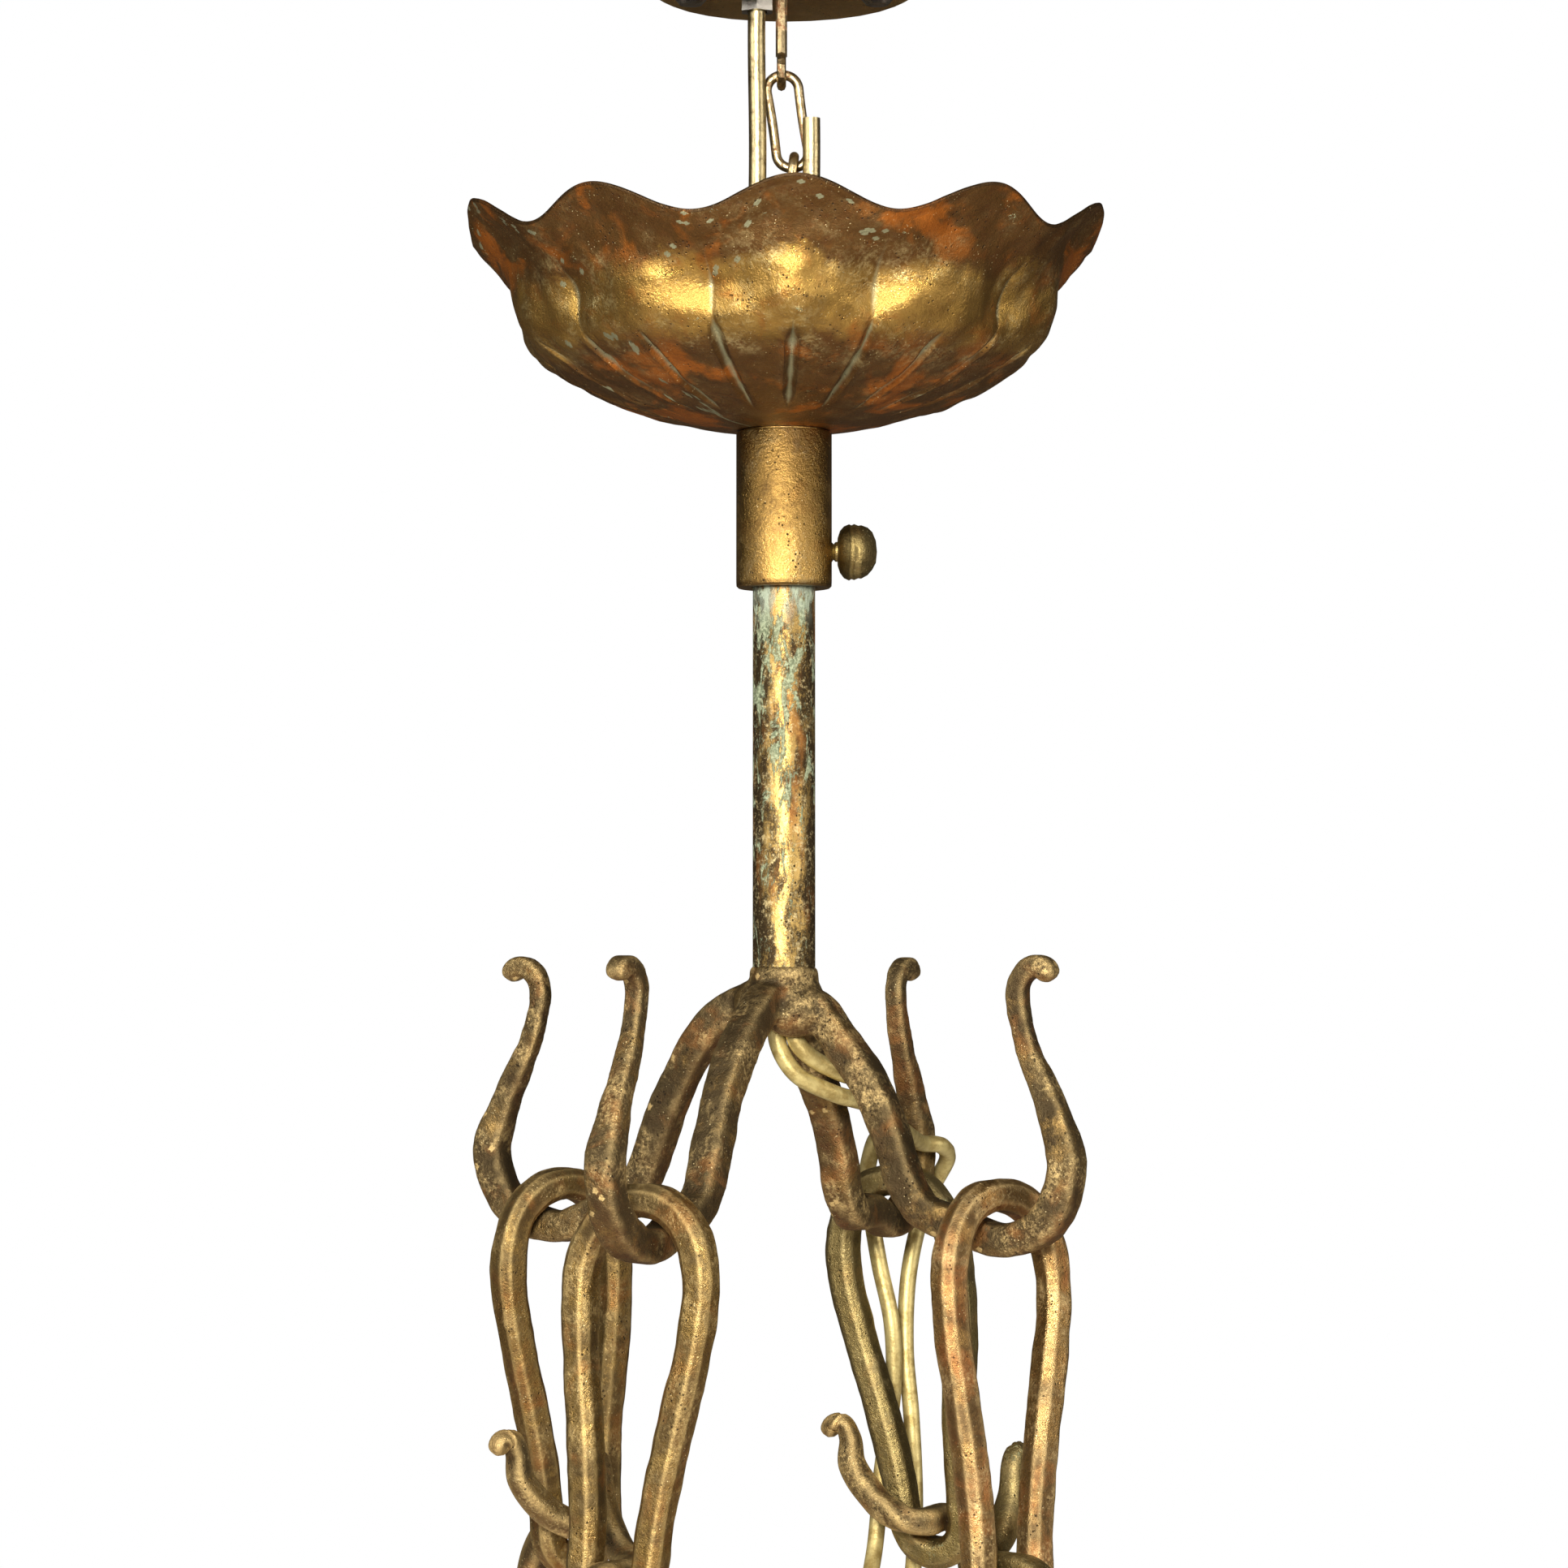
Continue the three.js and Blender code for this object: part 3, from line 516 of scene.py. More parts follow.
@dataclass(frozen=True)
class StemTube:
    """Gilt tube with pale verdigris flakes that thin out downwards, over dark streaks and painted shade on the flanks
    that face the sides.

    The top and the foot are heights in metres, and the grain is drawn out along the tube.
    """

    name: str
    top: float = -0.118
    foot: float = -0.191
    gold: Colour = (0.5, 0.34, 0.12)
    # Colour of the dark streaks, also laid on as painted shade on the flanks that face the sides.
    streak: Colour = (0.055, 0.036, 0.016)
    copper: Colour = (0.45, 0.19, 0.05)
    bright: Colour = (0.95, 0.78, 0.42)
    dark_flake: Colour = (0.15, 0.19, 0.12)
    pale_flake: Colour = (0.4, 0.47, 0.32)
    top_band: Colour = (0.42, 0.5, 0.42)
    pit: Colour = (0.025, 0.018, 0.01)
    stretch: tuple[float, float, float] = (1.0, 1.0, 0.35)

    def material(self) -> bpy.types.Material:
        """Builds the finish.

        Returns:
            The material.
        """
        tree = Tree(self.name)
        streak = tree.noise(330, 6, 0.68, 0.3, self.stretch)
        fine = tree.noise(1700, 4, 0.7)
        # The side normal darkens the flanks that face the sides: painted shade, added to the dark streaks.
        side = tree.facing(0)
        dark = (streak * 0.65 + fine * 0.35 + side * side * 0.14).ramp(0.44, 0.58)
        colour = tree.mix(dark, self.gold, self.streak)
        warm = tree.noise(210, 5, 0.6, 0.0, self.stretch).ramp(0.5, 0.66)
        colour = tree.mix(warm * 0.6, colour, self.copper)
        shine = (fine * 0.6 + tree.noise(520, 4) * 0.4).ramp(0.5, 0.66)
        colour = tree.mix(shine * 0.7, colour, self.bright)
        share = tree.height().ramp(self.foot, self.top, 0.0, 0.085)
        flake = tree.noise(380, 8, 0.74, 0.5, self.stretch) + share
        green = flake.ramp(0.58, 0.62)
        tone = tree.mix(fine.ramp(0.4, 0.62), self.dark_flake, self.pale_flake)
        colour = tree.mix(green * 0.9, colour, tone)
        band = tree.height().ramp(self.top - 0.009, self.top - 0.001) * streak.ramp(0.38, 0.55)
        colour = tree.mix(band * 0.75, colour, self.top_band)
        pits = tree.cells(820).ramp(0.22, 0.1) * tree.noise(260, 2).ramp(0.47, 0.6)
        colour = tree.mix(pits * 0.9, colour, self.pit)
        relief = 0.4 * streak + 0.35 * fine + 0.3 * green - 0.5 * pits
        return tree.surface({
            "Base Color": colour,
            "Roughness": 0.43 + 0.2 * dark + 0.3 * green,
            "Metallic": 1.0 - 0.85 * green - 0.2 * dark,
            "Normal": tree.bump(relief, 0.0004, 0.6),
        })


@dataclass(frozen=True)
class PlainMetal:
    """A worn plain metal with mottling, scratches and specks of rust."""

    name: str
    colour: Colour
    dark: Colour
    rust: Colour = (0.3, 0.11, 0.035)
    rust_share: float = 0.2
    rough: float = 0.32

    def material(self) -> bpy.types.Material:
        """Builds the finish.

        Returns:
            The material.
        """
        tree = Tree(self.name)
        mottle = tree.noise(420, 6, 0.65, 0.4)
        fine = tree.noise(2200, 4, 0.7)
        colour = tree.mix((mottle * 0.7 + fine * 0.3).ramp(0.45, 0.68), self.colour, self.dark)
        limit = 0.72 - 0.3 * self.rust_share
        rust = (tree.noise(240, 6, 0.7, 0.6) * 0.7 + fine * 0.3).ramp(limit - 0.07, limit + 0.03)
        colour = tree.mix(rust * 0.9, colour, self.rust)
        return tree.surface({
            "Base Color": colour,
            "Roughness": self.rough + 0.25 * rust + 0.2 * (fine - 0.5),
            "Metallic": 1.0 - 0.7 * rust,
            "Normal": tree.bump(mottle * 0.5 + fine * 0.4 + rust * 0.3, 0.0003, 0.5),
        })


@dataclass(frozen=True)
class Sheath:
    """Pale gold wire sheath with faint weave and dirt."""

    name: str
    gold: Colour = (0.72, 0.6, 0.27)
    dirt: Colour = (0.42, 0.31, 0.11)

    def material(self) -> bpy.types.Material:
        """Builds the finish.

        Returns:
            The material.
        """
        tree = Tree(self.name)
        dirt = tree.noise(300, 6, 0.65)
        fine = tree.noise(2600, 3, 0.6)
        return tree.surface({
            "Base Color": tree.mix(dirt.ramp(0.42, 0.66), self.gold, self.dirt),
            "Roughness": 0.34 + 0.2 * dirt,
            "Metallic": 0.55,
            "Normal": tree.bump(fine * 0.5 + dirt * 0.5, 0.00025, 0.5),
        })


@dataclass(frozen=True)
class Smooth:
    """Ceramic or frosted glass: smooth, with faint dust."""

    name: str
    colour: Colour
    dust: Colour
    rough: float = 0.25
    transmission: float = 0.0

    def material(self) -> bpy.types.Material:
        """Builds the finish.

        Returns:
            The material.
        """
        tree = Tree(self.name)
        dust = tree.noise(130, 6, 0.7)
        fine = tree.noise(1800, 3)
        return tree.surface({
            "Base Color": tree.mix(dust.ramp(0.45, 0.75), self.colour, self.dust),
            "Roughness": self.rough + 0.2 * dust.ramp(0.4, 0.7),
            "Transmission Weight": self.transmission,
            "Normal": tree.bump(fine, 0.00006, 0.5),
        })


def outward(azimuth: float) -> Array:
    """Horizontal unit vector at an azimuth.

    Args:
        azimuth: Degrees from +X towards +Y.

    Returns:
        The vector.
    """
    angle = math.radians(azimuth)
    return np.array([math.cos(angle), math.sin(angle), 0.0])


def unit(vector: Array) -> Array:
    """Scales vectors to length one.

    Args:
        vector: One vector or rows of them.

    Returns:
        The same with unit length.
    """
    return vector / np.linalg.norm(vector, axis=-1, keepdims=True)


def step(low: float, high: float, value: Union[float, Array]) -> Union[float, Array]:
    """Smooth step from 0 at low to 1 at high.

    Args:
        low: Where it starts.
        high: Where it ends.
        value: The place.

    Returns:
        The step's value.
    """
    share = np.clip((value - low) / (high - low), 0, 1)
    return share * share * (3 - 2 * share)


def evenly(points: Array, count: int, loop: bool) -> Array:
    """Spaces points evenly along a line.

    Args:
        points: The line's points.
        count: How many to return.
        loop: Whether the line closes on itself.

    Returns:
        The evenly spaced points.
    """
    line = np.vstack([points, points[:1]]) if loop else points
    run = np.concatenate([[0], np.cumsum(np.linalg.norm(np.diff(line, axis=0), axis=1))])
    wanted = np.linspace(0, run[-1], count + 1)[:-1] if loop else np.linspace(0, run[-1], count)
    return np.stack([np.interp(wanted, run, line[:, i]) for i in range(line.shape[1])], axis=1)


def spline(points: Sequence[Array], count: int, loop: bool = False) -> Array:
    """Centripetal Catmull-Rom curve, evenly sampled.

    Args:
        points: Points that it passes through.
        count: How many samples.
        loop: Whether it closes on itself.

    Returns:
        The samples.
    """
    knots = np.array(points, float)
    if loop:
        knots = np.vstack([knots[-1:], knots, knots[:2]])
    else:
        knots = np.vstack([2 * knots[0] - knots[1], knots, 2 * knots[-1] - knots[-2]])
    samples = []
    for i in range(len(knots) - 3):
        p0, p1, p2, p3 = knots[i:i + 4]
        gaps = [math.sqrt(np.linalg.norm(b - a)) for a, b in ((p0, p1), (p1, p2), (p2, p3))]
        d0, d1, d2 = (max(gap, 1e-4) for gap in gaps)
        t1 = ((p1 - p0) / d0 - (p2 - p0) / (d0 + d1) + (p2 - p1) / d1) * d1
        t2 = ((p2 - p1) / d1 - (p3 - p1) / (d1 + d2) + (p3 - p2) / d2) * d1
        t = np.linspace(0, 1, 24, endpoint=False)[:, None]
        square = 3 * (p2 - p1) - 2 * t1 - t2
        cube = 2 * (p1 - p2) + t1 + t2
        samples.append(p1 + t1 * t + square * t ** 2 + cube * t ** 3)
    if not loop:
        samples.append(knots[-2][None])
    return evenly(np.vstack(samples), count, loop)


def bezier(p0: Sequence[float], p1: Sequence[float], p2: Sequence[float], p3: Sequence[float]) -> Array:
    """Samples a cubic Bezier.

    Args:
        p0: Start.
        p1: First handle.
        p2: Second handle.
        p3: End.

    Returns:
        Its samples without the end.
    """
    t = np.linspace(0, 1, 40, endpoint=False)[:, None]
    a, b, c, d = (np.array(p, float) for p in (p0, p1, p2, p3))
    return a * (1 - t) ** 3 + 3 * b * t * (1 - t) ** 2 + 3 * c * t * t * (1 - t) + d * t ** 3


def squarish(half: float, corner: float, sides: int = 28) -> Array:
    """A square bar's section with rounded corners.

    Args:
        half: Half its width.
        corner: 2 gives a circle and larger values squarer corners.
        sides: Points round it.

    Returns:
        The section's points.
    """
    angle = np.linspace(0, 2 * math.pi, sides, endpoint=False) + math.pi / sides
    c, s = np.cos(angle), np.sin(angle)
    radius = half / (np.abs(c) ** corner + np.abs(s) ** corner) ** (1 / corner)
    return np.stack([radius * c, radius * s], axis=1)


def snub(share: float) -> float:
    """Narrows the last of a forged bar to a blunt round end.

    Args:
        share: Share of the bar's length.

    Returns:
        The factor on its width.
    """
    start, length, least = 0.985, 0.015, 0.02
    return math.sqrt(max(least, 1 - max(0.0, (share - start) / length) ** 2))


@dataclass
class Piece:
    """A named mesh with its body, slot, finish and the CAD nodes that it stands for."""

    name: str
    body: str
    slot: Slot
    finish: bpy.types.Material
    nodes: Sequence[str] = ()

    def place(self, points: Array, faces: Sequence[Sequence[int]], sharp: float = 40.0) -> bpy.types.Object:
        """Makes the mesh object and ties it to its body.

        Args:
            points: Vertices in millimetres.
            faces: Vertex numbers of each face.
            sharp: Edges over this angle in degrees stay sharp.

        Returns:
            The object.
        """
        mesh = bpy.data.meshes.new(self.name)
        mesh.from_pydata((np.asarray(points) * MM).tolist(), [], [list(f) for f in faces])
        mesh.validate()
        mesh.shade_smooth()
        mesh.set_sharp_from_angle(angle=math.radians(sharp))
        made = bpy.data.objects.new(self.name, mesh)
        bpy.context.scene.collection.objects.link(made)
        return self.tie(made)

    def tie(self, made: bpy.types.Object) -> bpy.types.Object:
        """Gives an object its finish, body, slot and the nodes that it replaces.

        Args:
            made: The object.

        Returns:
            The object.
        """
        made.data.materials.clear()
        made.data.materials.append(self.finish)
        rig.ride(made, self.body)
        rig.replaces(made, *self.nodes)
        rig.slot(made, self.slot.value)
        LOG.info("piece %s on %s", self.name, self.body)
        return made


def skin(rings: Array, loop: bool) -> tuple[Array, list]:
    """Joins rings of points into a closed skin.

    Args:
        rings: Rings by points by three.
        loop: Whether the last ring joins the first.

    Returns:
        Points and faces.
    """
    count, around = rings.shape[:2]
    points = rings.reshape(-1, 3)
    faces = []
    for i in range(count if loop else count - 1):
        a, b = i * around, ((i + 1) % count) * around
        faces += [(a + j, a + (j + 1) % around, b + (j + 1) % around, b + j) for j in range(around)]
    if not loop:
        faces.append(tuple(range(around))[::-1])
        faces.append(tuple((count - 1) * around + j for j in range(around)))
    return points, faces


def sweep(path: Array, section: Callable[[float], Array], side: Array,
          loop: bool = False) -> tuple[Array, list]:
    """Sweeps a section along a path.

    Args:
        path: Points of the centre line.
        section: Gives the section at a share of the path.
        side: The way that the section's first axis faces.
        loop: Whether the path closes.

    Returns:
        Points and faces.
    """
    if loop:
        along = unit(np.roll(path, -1, 0) - np.roll(path, 1, 0))
    else:
        along = unit(np.gradient(path, axis=0))
    rings = []
    span = len(path) if loop else len(path) - 1
    for i, (centre, way) in enumerate(zip(path, along)):
        first = unit(side - way * side.dot(way))
        second = np.cross(way, first)
        outline = section(i / span)
        rings.append(centre + outline[:, :1] * first + outline[:, 1:] * second)
    return skin(np.array(rings), loop)


def hammer(points: Array, ways: Array, size: float, depth: float, seed: float) -> Array:
    """Pushes points in and out as a hammer would.

    Args:
        points: Points in millimetres.
        ways: The way to push each point.
        size: Width of the marks.
        depth: How deep they go.
        seed: Shifts the pattern.

    Returns:
        The moved points.
    """
    shift = Vector((seed, seed * 1.7, seed * 0.6))
    amounts = [noise.noise(Vector(p) / size + shift) for p in points]
    return points + ways * (np.array(amounts)[:, None] * depth)


def turned(profile: Sequence[tuple[float, float]], facets: int = 96) -> tuple[Array, list]:
    """Turns a closed profile about the vertical axis.

    Args:
        profile: Radius and height points; points on the axis close it.
        facets: Facets round it.

    Returns:
        Points and faces.
    """
    outline = [(max(r, 0.01), z) for r, z in profile]
    angle = np.linspace(0, 2 * math.pi, facets, endpoint=False)
    rings = np.array([[(r * math.cos(a), r * math.sin(a), z) for r, z in outline] for a in angle])
    return skin(rings, True)


def finished(kind: type, *sizes: object, **named: object) -> bpy.types.Material:
    """A palette field whose finish is built when the palette is made.

    Args:
        kind: The finish's class.
        sizes: Its values in order.
        named: Its values by name.

    Returns:
        The dataclass field.
    """
    return field(default_factory=lambda: kind(*sizes, **named).material())


@dataclass
class Palette:
    """The finishes of the chandelier, built once."""

    bowl: bpy.types.Material = finished(
        Gilding, "gilt_bowl", (0.68, 0.43, 0.11), (1.0, 0.82, 0.4), (0.045, 0.022, 0.008),
        (0.4, 0.14, 0.025), dark_share=0.8, copper_share=0.2, green_share=0.2,
        bright_share=0.7, under=0.3, rough=0.22,
        worn=(-0.0815, -0.056), rim=(0.42, 0.43, 0.28))
    collar: bpy.types.Material = finished(
        Gilding, "gilt_collar", (0.72, 0.46, 0.14), (1.0, 0.8, 0.4), (0.07, 0.034, 0.01),
        (0.44, 0.2, 0.05), dark_share=0.22, copper_share=0.25, green_share=0.05,
        bright_share=0.7, under=0.3, rough=0.3)
    stem: bpy.types.Material = finished(StemTube, "gilt_stem")
    arms: bpy.types.Material = finished(
        Gilding, "bronze_arms", (0.4, 0.26, 0.095), (0.95, 0.7, 0.32), (0.034, 0.025, 0.014),
        (0.3, 0.13, 0.04), dark_share=0.74, copper_share=0.3, green_share=0.18,
        bright_share=1.0, under=0.5, rough=0.3, grain=1.5)
    links: bpy.types.Material = finished(
        Gilding, "gilt_links", (0.38, 0.25, 0.085), (0.92, 0.68, 0.3), (0.045, 0.029, 0.013),
        (0.3, 0.13, 0.035), dark_share=0.6, copper_share=0.35, green_share=0.18,
        bright_share=0.8, under=0.8, rough=0.33)
    copper_link: bpy.types.Material = finished(
        Gilding, "copper_link", (0.44, 0.27, 0.1), (1.0, 0.74, 0.36), (0.05, 0.028, 0.013),
        (0.4, 0.15, 0.045), dark_share=0.55, copper_share=0.45, green_share=0.14,
        bright_share=0.9, under=0.8, rough=0.32)
    olive_link: bpy.types.Material = finished(
        Gilding, "olive_link", (0.31, 0.24, 0.1), (0.8, 0.65, 0.33), (0.05, 0.037, 0.016),
        (0.34, 0.22, 0.08), dark_share=0.3, copper_share=0.3, green_share=0.3,
        bright_share=0.5, under=0.4, rough=0.42)
    rod: bpy.types.Material = finished(
        PlainMetal, "old_brass_rod", (0.5, 0.42, 0.24), (0.16, 0.12, 0.06), rust_share=0.12)
    chain: bpy.types.Material = finished(
        PlainMetal, "old_brass_chain", (0.62, 0.5, 0.3), (0.24, 0.16, 0.08), (0.28, 0.1, 0.035), 0.45)
    brass: bpy.types.Material = finished(PlainMetal, "plain_brass", (0.66, 0.5, 0.22), (0.3, 0.2, 0.08))
    steel: bpy.types.Material = finished(PlainMetal, "plain_steel", (0.45, 0.44, 0.42), (0.16, 0.15, 0.14))
    wire: bpy.types.Material = finished(Sheath, "gold_sheath")
    ceramic: bpy.types.Material = finished(Smooth, "ceramic", (0.85, 0.82, 0.74), (0.5, 0.45, 0.35))
    glass: bpy.types.Material = finished(
        Smooth, "frosted_glass", (0.93, 0.9, 0.82), (0.8, 0.74, 0.6), 0.42, 0.35)


@dataclass(frozen=True)
class Heights:
    """Heights and radii shared by several pieces, in millimetres."""

    bend: float = -65.0
    stem_top: float = -77.8
    stem_foot: float = -190.8
    shoulder: float = -88.0
    collar_foot: float = -118.0
    screw: float = -111.0
    hub_top: float = -191.1
    hub_foot: float = -204.1
    link_top: float = -233.3
    seat: float = -300.85
    lower_hub: float = -336.85
    cup_top: float = -343.65
    nipple_top: float = -326.35
    hook_foot: float = -241.7
    link_foot_radius: float = 6.9


H = Heights()


@dataclass(frozen=True)
class Arm:
    """One forged hook of the spider.

    The reach is from the axis to the bend, and the bend and the tip are heights over the hub's foot.
    """

    name: str
    azimuth: float
    size: float
    sag: float
    full_reach: float = 48
    full_mouth: float = 13.5
    bend: float = -37.6
    rise: float = 53
    root: float = 9.2
    bar: float = 3.4
    corner: float = 4.6

    def path(self, count: int) -> Array:
        """Centre line from the weld round the hook to the curl.

        Args:
            count: How many points.

        Returns:
            The points.
        """
        way = outward(self.azimuth)
        reach, mouth, bend = self.full_reach * self.size, self.full_mouth * self.size, self.bend
        tip = bend + self.rise

        def at(r: float, z: float) -> Array:
            """A point by its radius and its height over the hub's foot."""
            return way * r + np.array([0, 0, H.hub_foot + z])

        return spline([
            at(2.0, 8.4 + self.sag / 4),
            at(self.root - 3, 6.9 + self.sag / 3),
            at(reach * 0.27, 2 + self.sag),
            at(reach * 0.39, -5 + self.sag),
            at(reach * 0.49, -14 + self.sag),
            at(reach * 0.56, -23 + self.sag),
            at(reach * 0.65, -31 + self.sag / 2),
            at(reach - mouth * 0.62, bend + mouth * 0.2),
            at(reach, bend),
            at(reach + mouth * 0.72, bend + mouth * 0.25),
            at(reach + mouth * 1.06, bend + mouth),
            at(reach + mouth * 0.86, bend + self.rise * 0.45),
            at(reach + mouth * 0.42, bend + self.rise * 0.7),
            at(reach + mouth * 0.3, tip - 5.4),
            at(reach + mouth * 0.36 + 2, tip - 2.2),
            at(reach + mouth * 0.36 + 4.6, tip - 2.4),
            at(reach + mouth * 0.36 + 5.4, tip - 5),
        ], count)

    def section(self, t: float) -> Array:
        """Section at a share of the bar: full, then drawn down to a snub curl.

        Args:
            t: Share of the length.

        Returns:
            The section.
        """
        drawn = 1 - 0.42 * float(step(0.62, 0.88, t))
        swell = 1 + 0.1 * float(step(0.93, 0.99, t)) + 0.015 * math.sin(t * 47 + self.azimuth)
        worn = 1 - 0.05 * float(step(0.4, 0.46, t) * (1 - step(0.52, 0.58, t)))
        return squarish(self.bar * drawn * snub(t) * swell * worn, self.corner)


ARMS = (
    Arm("left", 152, 1.05, 2),
    Arm("front", 239, 1.0, 0),
    Arm("right", 332, 0.95, -3),
    Arm("back", 63, 0.96, -8),
)


@dataclass(frozen=True)
class LowerBar:
    """One forged bar of the lower frame, with the way its link faces and the place of its tip."""

    name: str
    azimuth: float
    face: float
    tip: tuple[float, float]
    reach: float = 51
    bar: float = 2.6
    corner: float = 3.4

    def seat(self) -> Array:
        """Where the bar lies in its link's foot.

        Returns:
            The point.
        """
        return outward(self.azimuth) * self.reach + np.array([0, 0, H.seat])

    def path(self, count: int) -> Array:
        """Centre line from the lower hub through the link's foot to the curl.

        Args:
            count: How many points.

        Returns:
            The points.
        """
        out = outward(self.azimuth)
        seat = self.seat()
        through = outward(self.face + 90)
        if through.dot(out) > 0:
            through = -through

        def at(r: float, z: float) -> Array:
            """A point on the way out from the hub, by its height over the seat."""
            return out * r + np.array([0, 0, H.seat + z])

        def along(s: float, z: float) -> Array:
            """A point on the way through the link's foot."""
            return seat + through * s + np.array([0, 0, z])

        target = np.array([*self.tip, H.seat])
        leave = along(7.45, -0.4)
        way = (target - leave) * np.array([1, 1, 0])
        reach = np.linalg.norm(way)
        way = way / reach

        def rising(share: float, z: float) -> Array:
            """A point at a share of the way from the link to the tip."""
            return np.array([*(leave + way * share * reach)[:2], H.seat + z])

        def tip(s: float, z: float) -> Array:
            """A point at a distance past the tip's place."""
            return np.array([*(target + way * s)[:2], H.seat + z])

        return spline([
            at(7.95, -36), at(22.95, -38), at(43.86, -33.48), at(63.4, -23.04),
            along(-15.19, -10.8), along(-11.47, -4), along(-6.05, -0.3), along(0, 0), along(4.65, -0.1),
            rising(0.22, 0.6), rising(0.6, 4.2), rising(0.92, 10.7),
            tip(-0.6, 16.1), tip(0.8, 18.6), tip(3.2, 18.4), tip(4.2, 15.9),
        ], count)

    def section(self, t: float) -> Array:
        """Section at a share of the bar.

        Args:
            t: Share of the length.

        Returns:
            The section.
        """
        full = 1 - 0.28 * float(step(0.86, 0.97, t))
        return squarish(self.bar * full * snub(t), self.corner, 24)


LOWER = (
    LowerBar("left", 143.5, 39, (-52.1, 12.2)),
    LowerBar("front", 233.5, -31, (-34.5, -20)),
    LowerBar("right", 323.5, 39, (43.3, -12.9)),
    LowerBar("back", 53.5, -31, (12.6, 42)),
)


@dataclass
class Assembly:
    """What every sub-assembly shares: the finishes and the level of detail."""

    finish: Palette
    quick: bool = field(default_factory=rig.quick)

    def piece(self, name: str, body: str, slot: Slot, finish: bpy.types.Material, *nodes: str) -> Piece:
        """Names a piece.

        Args:
            name: Its name.
            body: The body that it rides on.
            slot: The record's slot.
            finish: Its material.
            nodes: The CAD nodes that it replaces.

        Returns:
            The piece.
        """
        return Piece(name, body.value if isinstance(body, Body) else body, slot, finish, nodes)

    def shell(self, point: Callable[[Array, Array], Array], rows: int, sectors: int, wall: float,
              dents: float) -> tuple[Array, list]:
        """A shell of one thickness under a skin.

        Args:
            point: The skin by share and angle.
            rows: Rows of the skin.
            sectors: Sectors round it.
            wall: Its thickness; below zero it lies on the other side.
            dents: Depth of the hammer marks.

        Returns:
            Points and faces.
        """
        turns = np.linspace(0, 2 * math.pi, sectors, endpoint=False)
        v, angle = np.meshgrid(np.linspace(0, 1, rows + 1), turns)
        outer = point(v, angle)
        up = unit(np.gradient(outer, axis=1))
        round_way = unit(np.roll(outer, -1, 0) - np.roll(outer, 1, 0))
        normal = unit(np.cross(up, round_way)) * math.copysign(1, wall)
        broad, close, blow, deepest = 7.5, 3.4, 8.5, 0.6
        flat = [Vector(p) for p in outer.reshape(-1, 3)]
        marks = np.array([noise.noise(p / broad) + 0.45 * noise.noise(p / close) for p in flat])
        cups = np.array([min(noise.voronoi(p / blow)[0][0], deepest) for p in flat])
        amount = np.maximum(marks * 0.6 - (deepest - cups) * 0.7 + 0.5, 0).reshape(v.shape) * dents
        amount = amount * step(0.05, 0.2, v) * (1 - 0.6 * step(0.93, 1.0, v))
        outer = outer + normal * amount[..., None]
        thick = abs(wall)
        thin = thick * (1 - 0.25 * step(0.9, 1, v))
        middle = outer[:, -1] + normal[:, -1] * thick * 0.38 + up[:, -1] * thick * 0.3
        inner = outer + normal * thin[..., None]
        rings = np.concatenate([outer, middle[:, None], inner[:, ::-1]], axis=1)
        return skin(rings, True)

    def dented_bar(self, path: Array, section: Callable[[float], Array], side: Array, loop: bool,
                   marks: Sequence[tuple[float, float, float]]) -> tuple[Array, list]:
        """A swept bar with hammer marks.

        Args:
            path: Points of its centre line.
            section: Its section at a share of the path.
            side: The way that the section's first axis faces.
            loop: Whether it closes on itself.
            marks: Size, depth and seed of each kind of mark.

        Returns:
            Points and faces.
        """
        points, faces = sweep(path, section, side, loop)
        rows = points.reshape(len(path), -1, 3)
        ways = unit(rows - path[:, None]).reshape(-1, 3)
        for size, depth, seed in marks:
            points = hammer(points, ways, size, depth, seed)
        return points, faces


